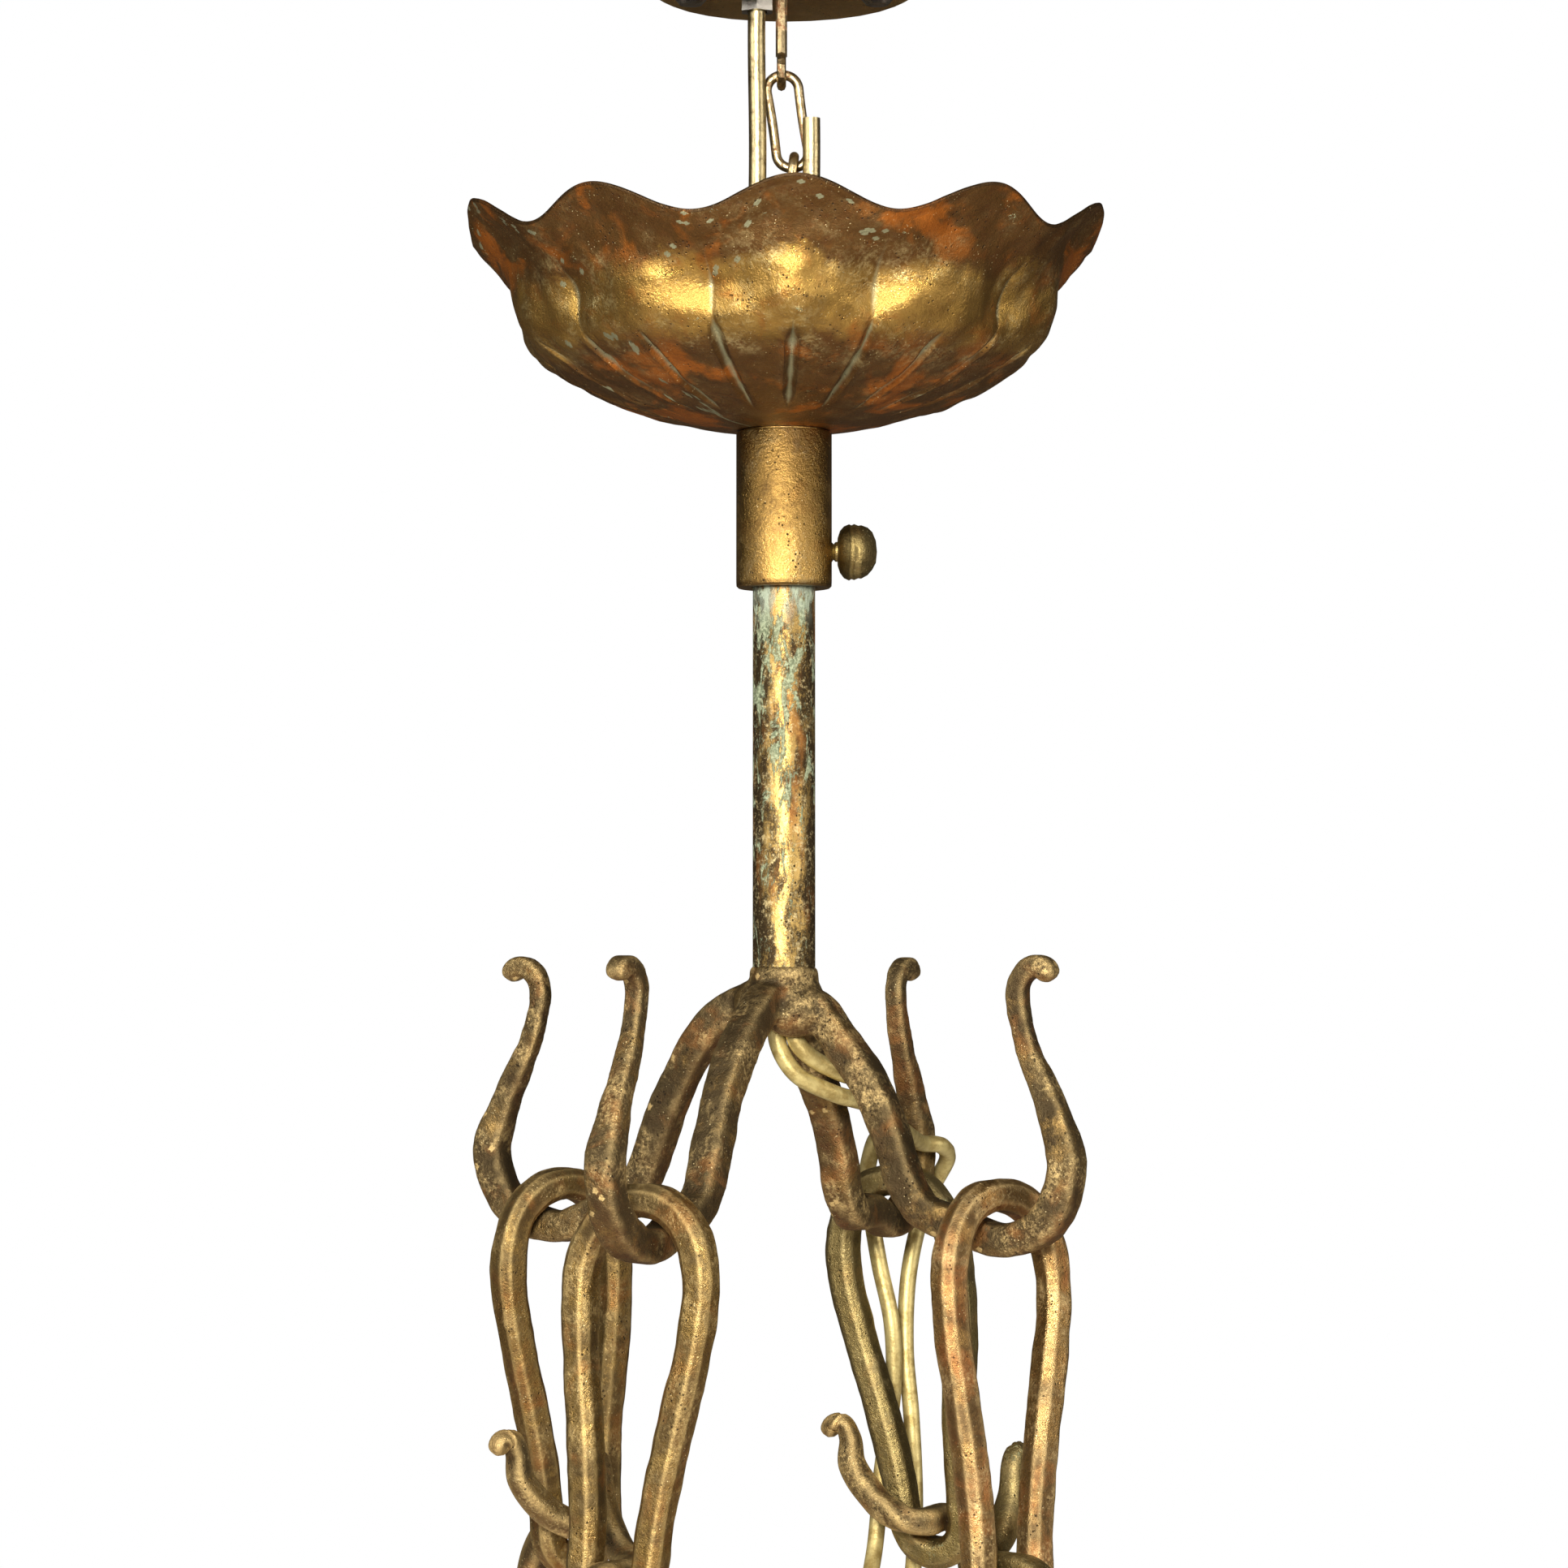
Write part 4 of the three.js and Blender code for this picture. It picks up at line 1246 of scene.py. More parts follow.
@dataclass
class Canopy(Assembly):
    """The scalloped bowl with its petals and chiselled grooves, and the ring nut inside it."""

    wide: float = 61.6
    deep: float = 39
    wall: float = 1.1
    dents: float = 0.85
    turn: float = -88
    petals: int = 10
    grooves: int = 20
    groove_depth: float = 0.75
    groove_drop: float = 0.8
    belly: float = 2.6
    scoop: float = 1.5
    rim_flare: float = 1.44
    rim_rise: float = 3.2
    front_dip: float = 3.4
    lift: float = 0.3
    nut_bore: float = 7.98
    nut_radius: float = 11
    nut_bevel: float = 0.4
    nut_lift: float = 2.03

    def groove(self, v: Array, angle: Array, radius: Array) -> tuple[Array, Array]:
        """The chisel's cuts, with the lip that each throws up.

        Args:
            v: Shares of the profile.
            angle: Angles in the bowl's own turn.
            radius: Radii of the skin.

        Returns:
            How deep the cut is, and how high the lip.
        """
        number = angle * self.grooves / (2 * math.pi)
        away = np.abs(np.mod(number + 0.5, 1) - 0.5) * (2 * math.pi / self.grooves) * radius
        drift = 0.5 + 0.5 * np.sin(np.round(number) * 2.4)
        reach = step(0.12, 0.2, v) * (1 - step(0.33 + 0.03 * drift, 0.41 + 0.03 * drift, v))
        cut = reach * np.clip(1 - away / (0.35 + 0.75 * reach), 0, 1)
        return cut, reach * np.exp(-((away - 1.5) / 0.6) ** 2) * 0.12

    def skin_point(self, v: Array, angle: Array) -> Array:
        """Outer skin of the bowl.

        Args:
            v: Shares of the profile from the hole to the rim.
            angle: Angles in the bowl's own turn.

        Returns:
            Points with the bowl's foot at height 0.
        """
        wide, deep, petals = self.wide, self.deep, self.petals
        knots = np.array([
            (8.1 / wide, 0), (0.3, 0.035), (0.52, 0.13), (0.7, 0.27), (0.82, 0.42), (0.855, 0.56),
            (0.872, 0.7), (0.91, 0.83), (0.968, 0.93), (1, 1),
        ]) * (wide, deep)
        line = spline([np.array([*k, 0]) for k in knots], 400)[:, :2]
        # Even shares of the knots, as the part's own profile has
        starts = [int(np.argmin(np.linalg.norm(line - k, axis=1))) for k in knots]
        place = np.interp(v * (len(knots) - 1), range(len(knots)), starts)
        radius = np.interp(place, range(len(line)), line[:, 0])
        z = np.interp(place, range(len(line)), line[:, 1])
        share = z / deep
        wave = np.cos(petals * angle) - 0.1 * (1 - np.sin(3 * angle + 1)) - 0.05 * (1 - np.cos(7 * angle))
        rim = step(0.5, 1, share)
        belly = np.sin(math.pi * np.clip((share - 0.26) / 0.62, 0, 1)) ** 1.3
        lobe = np.abs(np.cos(petals / 2 * angle)) ** 0.7
        scoop = np.sin(math.pi * np.clip((share - 0.3) / 0.5, 0, 1)) ** 2
        uneven = 0.75 + 0.25 * np.sin(4 * angle + 2)
        pressed = np.cos(petals * angle + 0.5 * np.sin(3 * angle)) * uneven
        radius = radius + belly * self.belly * (lobe - 0.62) + rim * rim * self.rim_flare * wave
        radius = radius - scoop * (self.scoop - self.scoop * pressed)
        cut, lip = self.groove(v, angle, radius)
        radius = radius - (cut * self.groove_depth - lip)
        front = np.clip(np.cos(angle), 0, 1) ** 1.5
        z = z + rim * (self.rim_rise - 0.5 * front) * wave
        z = z - rim * self.front_dip * front + cut * self.groove_drop - lip
        return np.stack([radius * np.cos(angle), radius * np.sin(angle), z], axis=-1)

    def build(self) -> None:
        """Builds the bowl and the nut."""
        rows, sectors = (70, 360) if self.quick else (130, 880)
        points, faces = self.shell(self.skin_point, rows, sectors, self.wall, self.dents)
        turn = math.radians(self.turn)
        c, s = math.cos(turn), math.sin(turn)
        points = points @ np.array([[c, s, 0], [-s, c, 0], [0, 0, 1]]) + (0, 0, H.shoulder + self.lift)
        bowl = self.piece("canopy_bowl", Body.CANOPY, Slot.GILT, self.finish.bowl, "canopy")
        bowl.place(points, faces, sharp=SHELL_CREASE)
        foot = H.shoulder + self.nut_lift
        radius, bevel = self.nut_radius, self.nut_bevel
        points, faces = turned([
            (self.nut_bore, foot), (radius - bevel, foot), (radius, foot + bevel), (radius, foot + 2),
            (radius - bevel, foot + 2 + bevel), (self.nut_bore, foot + 2 + bevel),
        ])
        nut = self.piece("ring_nut", Body.CANOPY, Slot.BRASS, self.finish.brass, "canopy_ring_nut")
        nut.place(points, faces)


@dataclass
class Collar(Assembly):
    """The collar tube and its set screw."""

    bore: float = 6.3
    radius: float = 9.2
    neck: float = 7.8
    neck_height: float = 5.5
    screw_core: float = 1.64
    screw_radius: float = 2.0
    screw_pitch: float = 0.33
    head_start: float = 10.3
    head_length: float = 7.6
    head_radius: float = 5.4

    def tube(self) -> None:
        """The tube, with a neck that the bowl sits on."""
        foot, top, radius, bore = H.collar_foot, H.shoulder, self.radius, self.bore
        points, faces = turned([
            (bore, foot + 0.2), (6.6, foot), (8.8, foot), (9.15, foot + 0.35), (radius, foot + 1.2),
            (radius, top - 0.3), (9.0, top), (self.neck, top), (self.neck, top + self.neck_height),
            (bore, top + self.neck_height),
        ], 120)
        tube = self.piece("collar_tube", Body.COLLAR, Slot.GILT, self.finish.collar, "canopy_collar")
        tube.place(points, faces)

    def screw(self) -> None:
        """The screw, turned along its own axis, with a grooved round head."""
        head = [
            (0.5, 0), (0.74, 0.06), (0.9, 0.16), (0.99, 0.29), (0.95, 0.35), (1, 0.42), (0.95, 0.52),
            (0.97, 0.6), (0.85, 0.76), (0.66, 0.88), (0.38, 0.97), (0.0, 1),
        ]
        threads = [
            (self.screw_radius if i % 2 else self.screw_core, 6.9 + i * self.screw_pitch) for i in range(10)
        ]
        points, faces = turned([
            (0, self.bore), (1.4, self.bore), *threads, (self.screw_radius, self.head_start),
            *[(self.head_radius * r, self.head_start + self.head_length * z) for r, z in head],
        ], 64)
        points = points[:, [2, 1, 0]] * (1, 1, -1)
        ways = unit(points * (0, 1, 1) + (0.001, 0, 0))
        points = hammer(points, ways, 2.6, 0.3, 4.0) + (0, 0, H.screw)
        screw = self.piece("set_screw_head", Body.SET_SCREW, Slot.GILT, self.finish.olive_link, "set_screw")
        screw.place(points, faces)

    def build(self) -> None:
        """Builds the tube and the screw."""
        self.tube()
        self.screw()


@dataclass
class Stem(Assembly):
    """The stem tube."""

    radius: float = 6.0
    wall: float = 1.2
    bevel: float = 0.2

    def build(self) -> None:
        """Builds the tube."""
        inner = self.radius - self.wall
        points, faces = turned([
            (inner, H.stem_foot), (self.radius, H.stem_foot), (self.radius, H.stem_top - 0.3),
            (self.radius - self.bevel, H.stem_top), (inner, H.stem_top),
        ], 120)
        self.piece("stem_tube", Body.STEM, Slot.GILT, self.finish.stem, "stem").place(points, faces)


@dataclass(frozen=True)
class Lump:
    """A blob of weld metal: where it lies under the hub's top, its radii and how blunt its ends are."""

    place: tuple[float, float, float]
    radii: tuple[float, float, float]
    blunt: float = 1.0

    def mesh(self) -> tuple[Array, list]:
        """Builds the blob.

        Returns:
            Points and faces.
        """
        angle = np.linspace(0, 2 * math.pi, 40, endpoint=False)
        tilt = np.linspace(-math.pi / 2, math.pi / 2, 21)[1:-1]
        wide = np.cos(tilt) ** self.blunt
        tall = np.sign(np.sin(tilt)) * np.abs(np.sin(tilt)) ** self.blunt
        levels = zip(wide, tall)
        rings = np.array([[(w * math.cos(a), w * math.sin(a), t) for a in angle] for w, t in levels])
        x, y, drop = self.place
        centre = np.array(Vector((x, y, H.hub_top - drop)))
        return skin(rings * np.array(self.radii) + centre, False)


@dataclass
class Spider(Assembly):
    """Four forged hooks melted into one lump round the stem's foot.

    The lumps are in millimetres, and the pitting and the voxels in metres.
    """

    lumps: tuple[Lump, ...] = (
        Lump((0, 0, 5.6), (8.0, 7.6, 5.4)),
        Lump((2.5, -3, 8.2), (6.6, 5.4, 5.2)),
        Lump((-4, 1, 6.5), (6, 6, 5)),
        Lump((0, 0, 2.4), (6.7, 6.6, 3.5), 0.5),
    )
    pitting: float = 0.00028
    voxel: float = 0.0004
    quick_voxel: float = 0.0006

    def joined(self) -> tuple[Array, list]:
        """The hooks and lumps as one list of points and faces.

        Returns:
            Points and faces.
        """
        count = 220 if self.quick else 340
        parts = [sweep(arm.path(count), arm.section, outward(arm.azimuth + 90)) for arm in ARMS]
        parts += [lump.mesh() for lump in self.lumps]
        points, faces, shift = [], [], 0
        for some, joined in parts:
            points.append(some)
            faces += [tuple(i + shift for i in f) for f in joined]
            shift += len(some)
        return np.vstack(points), faces

    def melt(self, made: bpy.types.Object) -> None:
        """Melts the joined shapes into one skin.

        Args:
            made: The spider's object.
        """
        melt = made.modifiers.new("melt", "REMESH")
        melt.mode = "VOXEL"
        melt.voxel_size = self.quick_voxel if self.quick else self.voxel
        melt.use_smooth_shade = True
        ease = made.modifiers.new("ease", "SMOOTH")
        ease.factor = 0.5
        ease.iterations = 3 if self.quick else 5
        depsgraph = bpy.context.evaluated_depsgraph_get()
        mesh = bpy.data.meshes.new_from_object(made.evaluated_get(depsgraph))
        made.modifiers.clear()
        made.data = mesh
        mesh.shade_smooth()

    def roughen(self, mesh: bpy.types.Mesh) -> None:
        """Pits the skin, most of all near the weld.

        Args:
            mesh: The melted mesh.
        """
        count = len(mesh.vertices)
        place = np.empty(count * 3)
        way = np.empty(count * 3)
        mesh.vertices.foreach_get("co", place)
        mesh.vertex_normals.foreach_get("vector", way)
        place = place.reshape(-1, 3)
        way = way.reshape(-1, 3)
        marks = np.array([noise.noise(Vector(p) * 150) + 0.5 * noise.noise(Vector(p) * 420) for p in place])
        near = 1 + 1.2 * (1 - step(0.006, 0.016, np.hypot(place[:, 0], place[:, 1])))
        place = place + way * ((marks - 0.2) * self.pitting * near)[:, None]
        mesh.vertices.foreach_set("co", place.ravel())
        mesh.update()

    def build(self) -> None:
        """Builds the spider."""
        names = ["spider_hub"] + [f"hook_arm_{arm.name}" for arm in ARMS]
        piece = self.piece("forged_spider", Body.STEM, Slot.FORGED, self.finish.arms, *names)
        made = piece.place(*self.joined())
        self.melt(made)
        self.roughen(made.data)


@dataclass
class Links(Assembly):
    """The four long links, each drawn from its hook down to its bar of the lower frame."""

    half: float = 13.0
    waist: float = -17.0
    bar: float = 3.05
    bevel: float = 1.4

    def outline(self, length: float) -> Array:
        """Outline of a link: wide round top, straight sides, narrow foot.

        Args:
            length: From the top to the foot.

        Returns:
            Points in the link's plane.
        """
        small = H.link_foot_radius
        half, waist, foot = self.half, self.waist, -length + small
        turns = np.linspace(0, -math.pi / 2, 20, endpoint=False)
        right = np.vstack([
            bezier((0, 0), (half * 0.62, 0), (half, waist * 0.42), (half, waist)),
            bezier((half, waist), (half, waist * 1.75), (small, foot * 0.72), (small, foot)),
            [(small * math.cos(a), foot + small * math.sin(a)) for a in turns],
        ])
        left = right[1:][::-1] * (-1, 1)
        return np.vstack([right, [(0, -length)], left])

    def section(self, t: float) -> Array:
        """Section of a link's bar, with flats and bevelled corners.

        Args:
            t: Share of the way round.

        Returns:
            The section.
        """
        h, f = self.bar, self.bar - self.bevel
        corners = np.array([(h, -f), (h, f), (f, h), (-f, h), (-h, f), (-h, -f), (-f, -h), (f, -h)])
        return evenly(corners, 32, True) * (1 + 0.02 * math.sin(t * 31))

    def build(self) -> None:
        """Builds the links."""
        looks = (self.finish.links, self.finish.links, self.finish.copper_link, self.finish.olive_link)
        for seed, (arm, bar, look) in enumerate(zip(ARMS, LOWER, looks)):
            top = outward(arm.azimuth) * arm.full_reach * arm.size + np.array([0, 0, H.link_top])
            up = top - bar.seat()
            length = np.linalg.norm(up) + H.link_foot_radius
            up = unit(up)
            across = outward(bar.face)
            across = unit(across - up * across.dot(up))
            flat = evenly(self.outline(length), 200 if self.quick else 320, True)
            path = top + flat[:, :1] * across + flat[:, 1:] * up
            marks = [(6.5, 0.28, 3.0 + seed), (2.2, 0.09, 9.0 + seed)]
            points, faces = self.dented_bar(path, self.section, np.cross(up, across), True, marks)
            name = f"hanger_link_{arm.name}"
            piece = self.piece(f"long_{name}", f"link_{arm.name}", Slot.GILT, look, name)
            piece.place(points, faces, sharp=BAR_CREASE)


@dataclass
class LowerFrame(Assembly):
    """The four lower bars, their hub and the lamp cup."""

    hub_bore: float = 5.65
    cup_radius: float = 30
    cup_depth: float = 13
    cup_wall: float = -1.1
    cup_petals: int = 8

    def bars(self) -> None:
        """The forged bars with their curled tips."""
        for seed, bar in enumerate(LOWER):
            side = outward(bar.azimuth + 90) * 0.98 + np.array([0, 0, 0.05])
            path = bar.path(200 if self.quick else 320)
            points, faces = self.dented_bar(path, bar.section, side, False, [(5.5, 0.24, 21.0 + seed)])
            finish = self.finish.olive_link if bar.name == "right" else self.finish.arms
            name = f"lower_arm_{bar.name}"
            piece = self.piece(f"curled_{name}", Body.LOWER, Slot.FORGED, finish, name)
            piece.place(points, faces, sharp=BAR_CREASE)

    def hub(self) -> None:
        """The barrel that the bars are forged on to."""
        middle, bore = H.lower_hub, self.hub_bore
        half = [(bore, 6.5), (5.9, 6.5), (7.2, 4.4), (7.5, 3.6)]
        below = [(r, middle - z) for r, z in half]
        above = [(r, middle + z) for r, z in reversed(half)]
        points, faces = turned(below + above, 72)
        hub = self.piece("lower_barrel", Body.LOWER, Slot.FORGED, self.finish.arms, "lower_hub")
        hub.place(points, faces)

    def cup_point(self, v: Array, angle: Array) -> Array:
        """Outer skin of the lamp cup.

        Args:
            v: Shares of its profile.
            angle: Angles.

        Returns:
            Points with the cup's top at height 0.
        """
        wide, deep = self.cup_radius, self.cup_depth
        knots = np.array([(5.8 / wide, 0), (0.4, -0.08), (0.72, -0.34), (0.9, -0.72), (1, -1)])
        line = spline([np.array([*k, 0]) for k in knots * (wide, deep)], 200)[:, :2]
        shares = np.linspace(0, 1, len(line))
        radius = np.interp(v, shares, line[:, 0])
        z = np.interp(v, shares, line[:, 1])
        rim = step(0.4, 1, v)
        wave = np.cos(self.cup_petals * angle)
        radius = radius + rim * wave * 0.9
        return np.stack([radius * np.cos(angle), radius * np.sin(angle), z - rim * wave * 1.6], axis=-1)

    def build(self) -> None:
        """Builds the bars, the hub and the cup."""
        self.bars()
        self.hub()
        rows, sectors = (30, 160) if self.quick else (60, 400)
        points, faces = self.shell(self.cup_point, rows, sectors, self.cup_wall, 0.35)
        cup = self.piece("lamp_cup_shell", Body.LOWER, Slot.GILT, self.finish.bowl, "lamp_cup")
        cup.place(points + (0, 0, H.cup_top), faces, sharp=SHELL_CREASE)


@dataclass
class Rod(Assembly):
    """The hooked rod that carries the lamp."""

    half: float = 5.2
    bar: float = 1.72
    rise: float = 38
    sway: float = 0.12
    count: int = 260

    def build(self) -> None:
        """Builds the rod: down from the plate, round the bend and up to its free end."""
        half, bend = self.half, H.bend
        centre = bend + half
        handle = half * 1.33
        curve = bezier((-half, centre), (-half, centre - handle), (half, centre - handle), (half, centre))
        down = np.stack([np.full(60, -half), np.linspace(-0.3, centre, 60, endpoint=False)], axis=1)
        up = np.stack([np.full(40, half), np.linspace(centre, bend + self.rise, 40)], axis=1)
        flat = evenly(np.vstack([down, curve, up]), self.count, False)
        path = np.stack([flat[:, 0], np.zeros(self.count), flat[:, 1]], axis=1)
        path[:, 0] += self.sway * np.sin(path[:, 2] / 7)
        points, faces = sweep(path, lambda t: squarish(self.bar, 2.0, 24), np.array([0.0, 1, 0]))
        rod = self.piece("hooked_rod", Body.CEILING, Slot.GILT, self.finish.rod, "suspension_hook")
        rod.place(points, faces)


@dataclass
class Chain(Assembly):
    """The slack safety chain. Each lean is a link's angle from upright, in radians."""

    pitch: float = 16.1
    wire: float = 0.95
    half: float = 3.1
    play: float = 0.15
    waist: float = 0.05
    start: tuple[float, float, float] = (-0.5, 3.1, -19.09)
    leans: tuple[float, ...] = (0.147, -0.12, 0.0)

    def outline(self) -> Array:
        """Outline of a link, a little narrower at the waist.

        Returns:
            Points in the link's plane.
        """
        half = self.half
        reach = self.pitch / 2 + (self.wire + self.play) - half
        turn = np.linspace(0, math.pi, 40)
        top = np.stack([half * np.cos(turn), reach + half * np.sin(turn)], axis=1)
        flat = evenly(np.vstack([top, -top]), 120, True)
        flat[:, 0] *= 1 - self.waist * np.cos(flat[:, 1] / reach * 1.5)
        return flat

    def build(self) -> None:
        """Builds the links, every second one turned by a right angle."""
        place = np.array(self.start)
        flat = self.outline()
        for i, lean in enumerate(self.leans):
            down = np.array([math.sin(lean), 0, -math.cos(lean)])
            across = np.array([math.cos(lean), 0, math.sin(lean)]) if i % 2 == 0 else np.array([0.0, 1, 0])
            path = place + down * self.pitch / 2 + flat[:, :1] * across - flat[:, 1:] * down
            ring = squarish(self.wire, 2.0, 16)
            points, faces = sweep(path, lambda t: ring, np.cross(down, across), True)
            name = f"chain_link_{i + 1}"
            piece = self.piece(f"oval_{name}", f"chain_{i + 1}", Slot.BRASS, self.finish.chain, name)
            piece.place(points, faces)
            place = place + down * self.pitch


@dataclass
class Wires(Assembly):
    """The pair of lamp wires: out of the stem's foot, over the back hook and down to the nipple.

    A point of their route is given by its distance out towards the back hook, its distance to the right
    of that and its height over one of three places. The hook is a little smaller than its full size.
    """

    azimuth: float = 63
    shrink: float = 0.96
    apart: float = 1.78
    bevel: float = 0.0017

    def at(self, out: float, right: float, z: float) -> Array:
        """A point of the route.

        Args:
            out: Distance from the axis towards the back hook.
            right: Distance to the right of that.
            z: Height.

        Returns:
            The point.
        """
        return outward(self.azimuth) * out + outward(self.azimuth - 90) * right + np.array([0, 0, z])

    def hub(self, out: float, right: float, z: float) -> Array:
        """A point by its height over the hub's foot."""
        return self.at(out * self.shrink, right, H.hub_foot + z)

    def hook(self, out: float, right: float, z: float) -> Array:
        """A point by its height over the hooks' foot."""
        return self.at(out * self.shrink, right, H.hook_foot + z)

    def low(self, out: float, right: float, z: float) -> Array:
        """A point by its height over the nipple's top."""
        return self.at(out, right, H.nipple_top + z)

    def through_mouth(self) -> list[Array]:
        """Knots of the wire that goes through the hook's mouth.

        Returns:
            The knots.
        """
        start = [(0.5, 2.4, -0.8), (2.7, 4.6, -4), (8.3, 7.6, -6.8), (20.8, 9.3, -9.5)]
        over = [
            (35.4, 6.5, 22.3), (48, 0.5, 19), (54.2, -6, 15.5), (56.3, -8.8, 7.7), (59.4, -9.5, 2.5),
            (59.9, -7.5, -9.5), (59.4, -4.5, -21.5), (59.9, -4.5, -35.5), (58.9, -6.5, -50.5),
            (53.7, -6, -67.5),
        ]
        return [self.hub(*knot) for knot in start] + [self.hook(*knot) for knot in over]

    def round_hook(self) -> list[Array]:
        """Knots of the wire that goes round the hook.

        Returns:
            The knots.
        """
        start = [(0.3, -1.3, -1.8), (2.1, 1.6, -7.2), (7.8, 6.4, -10.8), (20.8, 9.3, -13.6)]
        over = [
            (37.5, 8.2, 18.6), (47.9, 5.8, 16.6), (54.6, 4.6, 15.5), (59.5, 6.4, 15), (65.6, 5.2, 12.2),
            (68.3, 1, 6.6), (68.8, -2, 0.5), (66.7, -4, -11.5), (65.1, -4, -26.5), (64.6, -2.5, -40.5),
            (63, -1, -58.5), (56.3, 1, -73.5),
        ]
        return [self.hub(*knot) for knot in start] + [self.hook(*knot) for knot in over]

    def cord(self, number: int, path: Array) -> None:
        """Args:
            number: 1 or 2.
            path: Its centre line in metres.
        """
        name = f"lamp_wire_{number}"
        curve = bpy.data.curves.new(f"{name}_cord", "CURVE")
        curve.dimensions = "3D"
        line = curve.splines.new("POLY")
        line.points.add(len(path) - 1)
        for point, place in zip(line.points, path):
            point.co = (*place, 1.0)
        curve.bevel_depth = self.bevel
        curve.bevel_resolution = 4
        curve.use_fill_caps = True
        made = bpy.data.objects.new(f"{name}_cord", curve)
        bpy.context.scene.collection.objects.link(made)
        self.piece(f"{name}_cord", Body.STEM, Slot.WIRE, self.finish.wire, name).tie(made)
        length = float(np.linalg.norm(np.diff(path, axis=0), axis=1).sum())
        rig.cord(made, exit=tuple(path[0]), length=length, diameter=0.0034, far_end="object",
                stiffness="limp", lay="hanging")
        LOG.info("%s is %.1f mm long", name, length / MM)

    def build(self) -> None:
        """Builds both wires, side by side at each end."""
        routes = ((self.apart, self.through_mouth()), (-self.apart, self.round_hook()))
        for number, (side, middle) in enumerate(routes, 1):
            sign = math.copysign(1, side)
            low = [
                (37, sign * -3.2, 4.5), (24, sign * -2.4, 3.6), (13, -side, 8), (6, -side, 10),
                (1, -side, 5.4), (0, -side, -1.5), (0, -side, -13),
            ]
            top = [self.hub(0, side, 25), self.hub(0, side, 4)]
            knots = [*top, *middle, *[self.low(*knot) for knot in low]]
            self.cord(number, spline(knots, 420) * MM)


@dataclass
class KeptNodes(Assembly):
    """The CAD nodes that are shown as they are, with a finish."""

    def build(self) -> None:
        """Gives each node its finish."""
        finish = self.finish
        looks = {
            "ceiling_plate": finish.arms, "plate_screw_1": finish.steel, "plate_screw_2": finish.steel,
            "hook_nut": finish.steel, "chain_eye": finish.chain, "stem_ring": finish.arms,
            "nipple": finish.brass, "hub_nut": finish.brass, "lampholder_shell": finish.brass,
            "lampholder_insert": finish.ceramic, "bulb_cap": finish.brass,
        }
        for name, look in looks.items():
            node = frame["nodes"][name]
            node.data.materials.clear()
            node.data.materials.append(look)


@dataclass
class Bulb(Assembly):
    """The bulb's glass: a round globe, drawn in to a short neck."""

    radius: float = 20.0
    neck: float = 6.5
    wall: float = 1.0
    node: str = "bulb_glass"

    def heights(self) -> tuple[float, float]:
        """Reads how low and high the CAD glass reaches.

        Returns:
            Both heights in millimetres.
        """
        node = frame["nodes"][self.node]
        corners = np.array([node.matrix_world @ Vector(c) for c in node.bound_box])
        return corners.min(0)[2] / MM, corners.max(0)[2] / MM

    def build(self) -> None:
        """Builds the globe."""
        low, top = self.heights()
        radius, neck, wall = self.radius, self.neck, self.wall
        middle = low + radius
        bare = math.asin(neck / radius)

        def globe(size: float, start: float, end: float) -> list[tuple[float, float]]:
            """Points of a round wall between two angles from the top."""
            return [(size * math.sin(a), middle + size * math.cos(a)) for a in np.linspace(start, end, 40)]

        profile = [
            (neck - wall, top), *globe(radius - wall, bare, math.pi), *globe(radius, math.pi, bare * 1.1),
            (neck + 0.05, top - 4), (neck, top - 0.05),
        ]
        points, faces = turned(profile, 96)
        self.piece("bulb_globe", Body.BULB, Slot.GLASS, self.finish.glass, self.node).place(points, faces)


@dataclass(frozen=True)
class Lamp:
    """A soft area lamp aimed at the chandelier's middle."""

    name: str
    place: tuple[float, float, float]
    power: float
    size: float
    colour: Colour
    target: tuple[float, float, float] = (0, 0, -0.17)

    def build(self) -> None:
        """Adds the lamp to the scene."""
        light = bpy.data.lights.new(self.name, "AREA")
        light.energy = self.power
        light.shape = "DISK"
        light.size = self.size
        light.color = self.colour
        made = bpy.data.objects.new(self.name, light)
        made.location = self.place
        made.rotation_euler = (Vector(self.target) - made.location).to_track_quat("-Z", "Y").to_euler()
        bpy.context.scene.collection.objects.link(made)


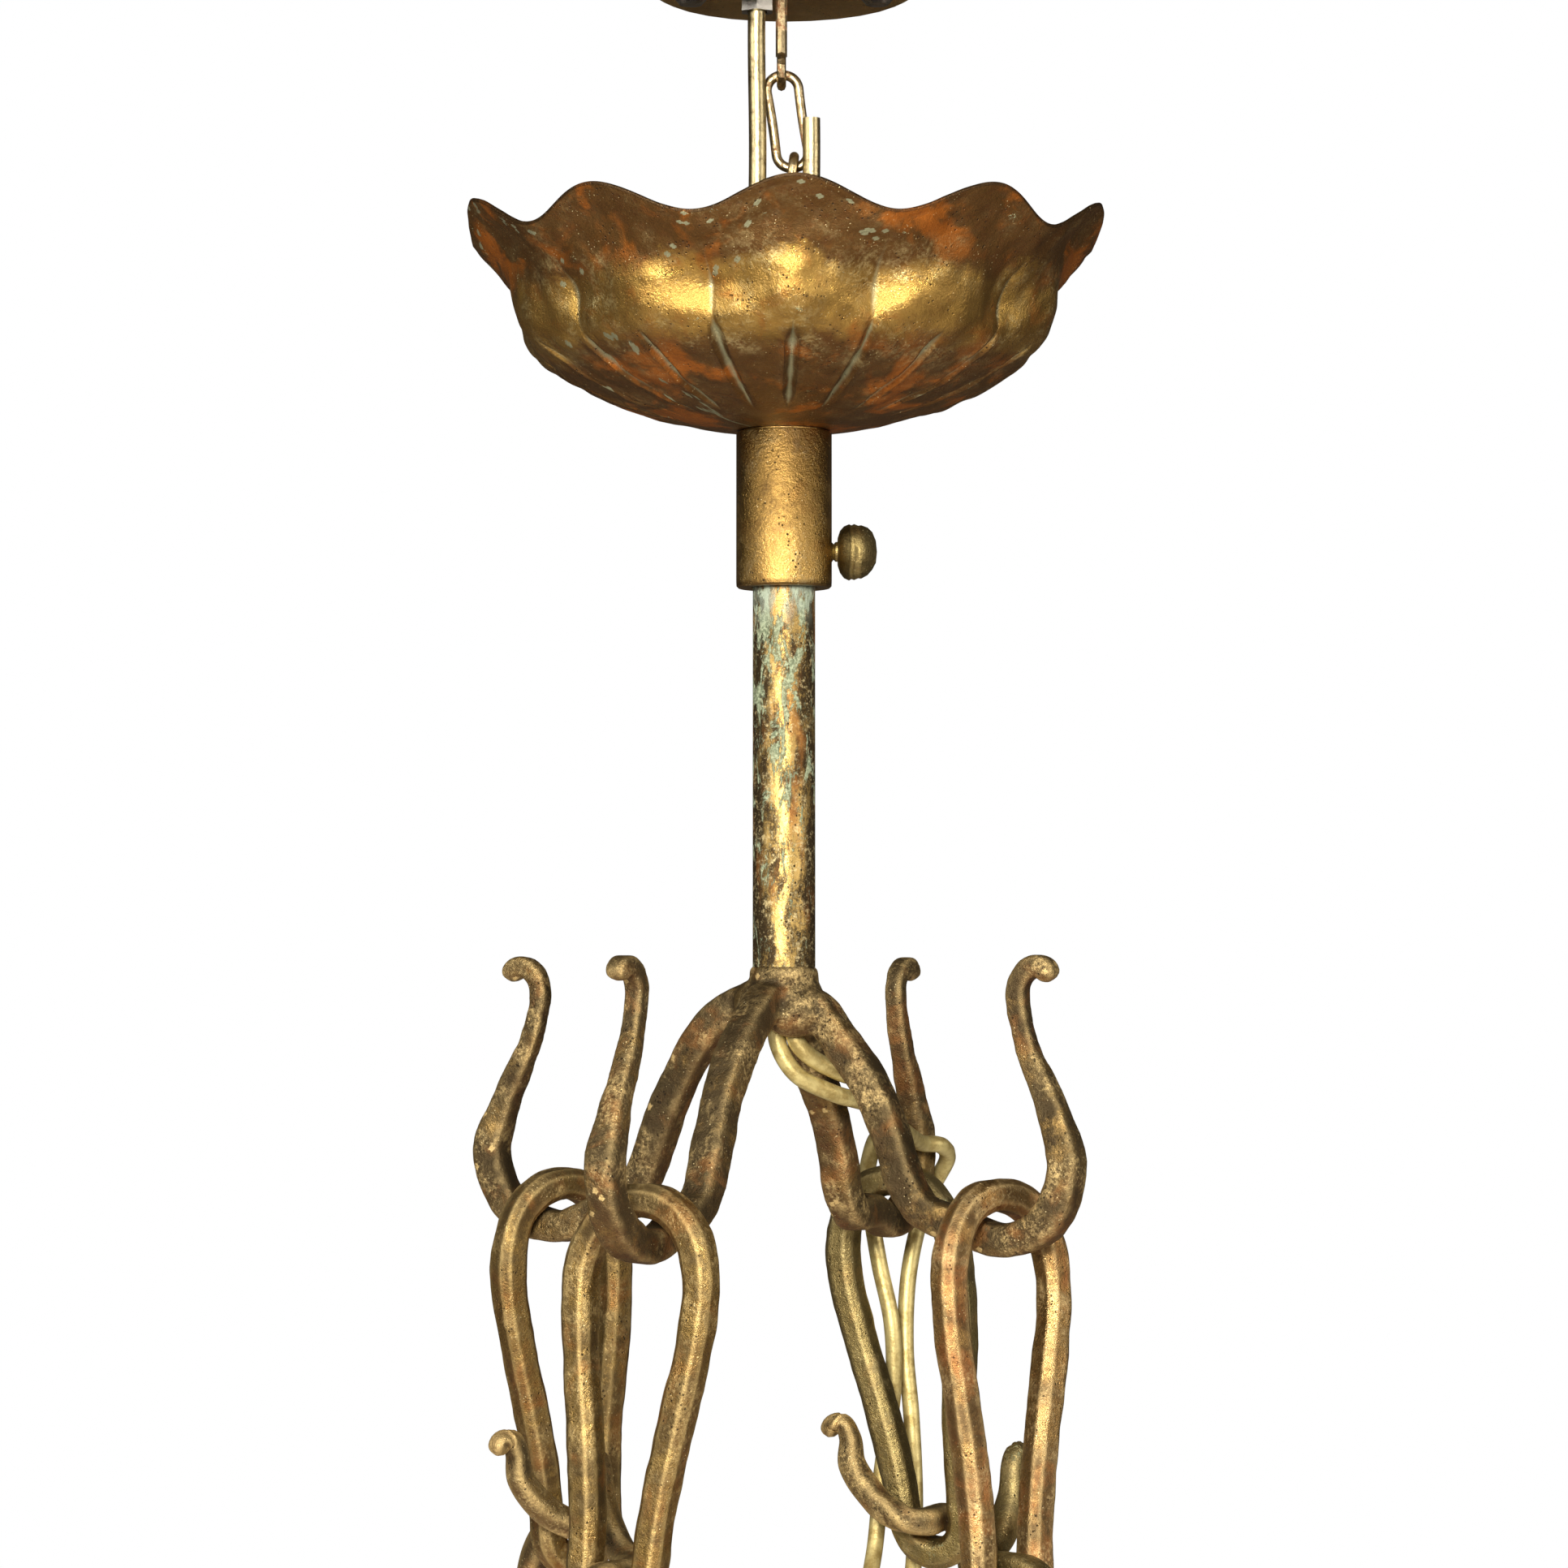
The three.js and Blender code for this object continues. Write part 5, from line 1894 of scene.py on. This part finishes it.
@dataclass(frozen=True)
class Studio:
    """Pale floor, soft light, white background and the camera. Its sizes are metres."""

    lamps: tuple[Lamp, ...] = (
        Lamp("front", (-0.12, -0.9, 0.02), 13.0, 0.24, (1.0, 0.94, 0.82)),
        Lamp("left", (-0.95, -0.6, 0.25), 4.0, 0.35, (1.0, 0.95, 0.86)),
        Lamp("right", (0.95, -0.55, 0.0), 4.0, 0.35, (1.0, 0.93, 0.82)),
    )
    floor_radius: float = 0.7
    floor_height: float = -0.62
    floor_sides: int = 96
    floor_colour: Colour = (0.86, 0.84, 0.82)
    room_colour: Colour = (1.0, 0.86, 0.68)
    room_strength: float = 0.06
    lens: float = 102.0
    sensor: float = 36.0
    eye: tuple[float, float, float] = (0, -0.852, -0.192)
    target: tuple[float, float, float] = (0, 0, -0.1557)

    def floor(self) -> None:
        """A pale floor under the lamp."""
        mesh = bpy.data.meshes.new("floor")
        radius, height = self.floor_radius, self.floor_height
        angle = np.linspace(0, 2 * math.pi, self.floor_sides, endpoint=False)
        ring = [(radius * math.cos(a), radius * math.sin(a), height) for a in angle]
        mesh.from_pydata(ring, [], [tuple(range(len(ring)))])
        made = bpy.data.objects.new("floor", mesh)
        tree = Tree("pale_floor")
        mesh.materials.append(tree.surface({"Base Color": (*self.floor_colour, 1), "Roughness": 0.8}))
        bpy.context.scene.collection.objects.link(made)
        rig.stage(made)

    def world(self) -> None:
        """White to the camera, and a soft dim room to everything else."""
        world = bpy.data.worlds.new("studio")
        bpy.context.scene.world = world
        world.use_nodes = True
        nodes, links = world.node_tree.nodes, world.node_tree.links
        nodes.clear()
        paths = nodes.new("ShaderNodeLightPath")
        room = nodes.new("ShaderNodeBackground")
        white = nodes.new("ShaderNodeBackground")
        white.inputs["Color"].default_value = (1, 1, 1, 1)
        room.inputs["Color"].default_value = (*self.room_colour, 1)
        room.inputs["Strength"].default_value = self.room_strength
        mix = nodes.new("ShaderNodeMixShader")
        out = nodes.new("ShaderNodeOutputWorld")
        links.new(paths.outputs["Is Camera Ray"], mix.inputs[0])
        links.new(room.outputs[0], mix.inputs[1])
        links.new(white.outputs[0], mix.inputs[2])
        links.new(mix.outputs[0], out.inputs["Surface"])

    def camera(self) -> None:
        """The photograph's viewpoint."""
        data = bpy.data.cameras.new("camera")
        data.lens = self.lens
        data.sensor_width = self.sensor
        data.clip_start = 0.01
        made = bpy.data.objects.new("camera", data)
        made.location = self.eye
        made.rotation_euler = (Vector(self.target) - made.location).to_track_quat("-Z", "Y").to_euler()
        bpy.context.scene.collection.objects.link(made)
        bpy.context.scene.camera = made

    def build(self) -> None:
        """Sets the studio up."""
        self.floor()
        self.world()
        self.camera()
        for lamp in self.lamps:
            lamp.build()
        bpy.context.scene.view_settings.view_transform = "Standard"


def write_size(name: str) -> None:
    """Args:
        name: The key to write them under.
    """
    path = "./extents.json"
    sizes = {} if name == "frame" else json.load(open(path, encoding="utf-8"))
    low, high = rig.bounds()
    sizes[name] = [[float(x) for x in low], [float(x) for x in high]]
    with open(path, "w", encoding="utf-8") as out:
        json.dump(sizes, out)


def main() -> None:
    """Builds the sub-assemblies in order, and then the studio."""
    logging.basicConfig(level=logging.INFO, format="%(message)s")
    write_size("frame")
    finish = Palette()
    for assembly in (KeptNodes, Canopy, Collar, Stem, Spider, Links, LowerFrame, Rod, Chain, Wires, Bulb):
        assembly(finish).build()
    Studio().build()
    write_size("model")


if __name__ == "__main__":
    main()
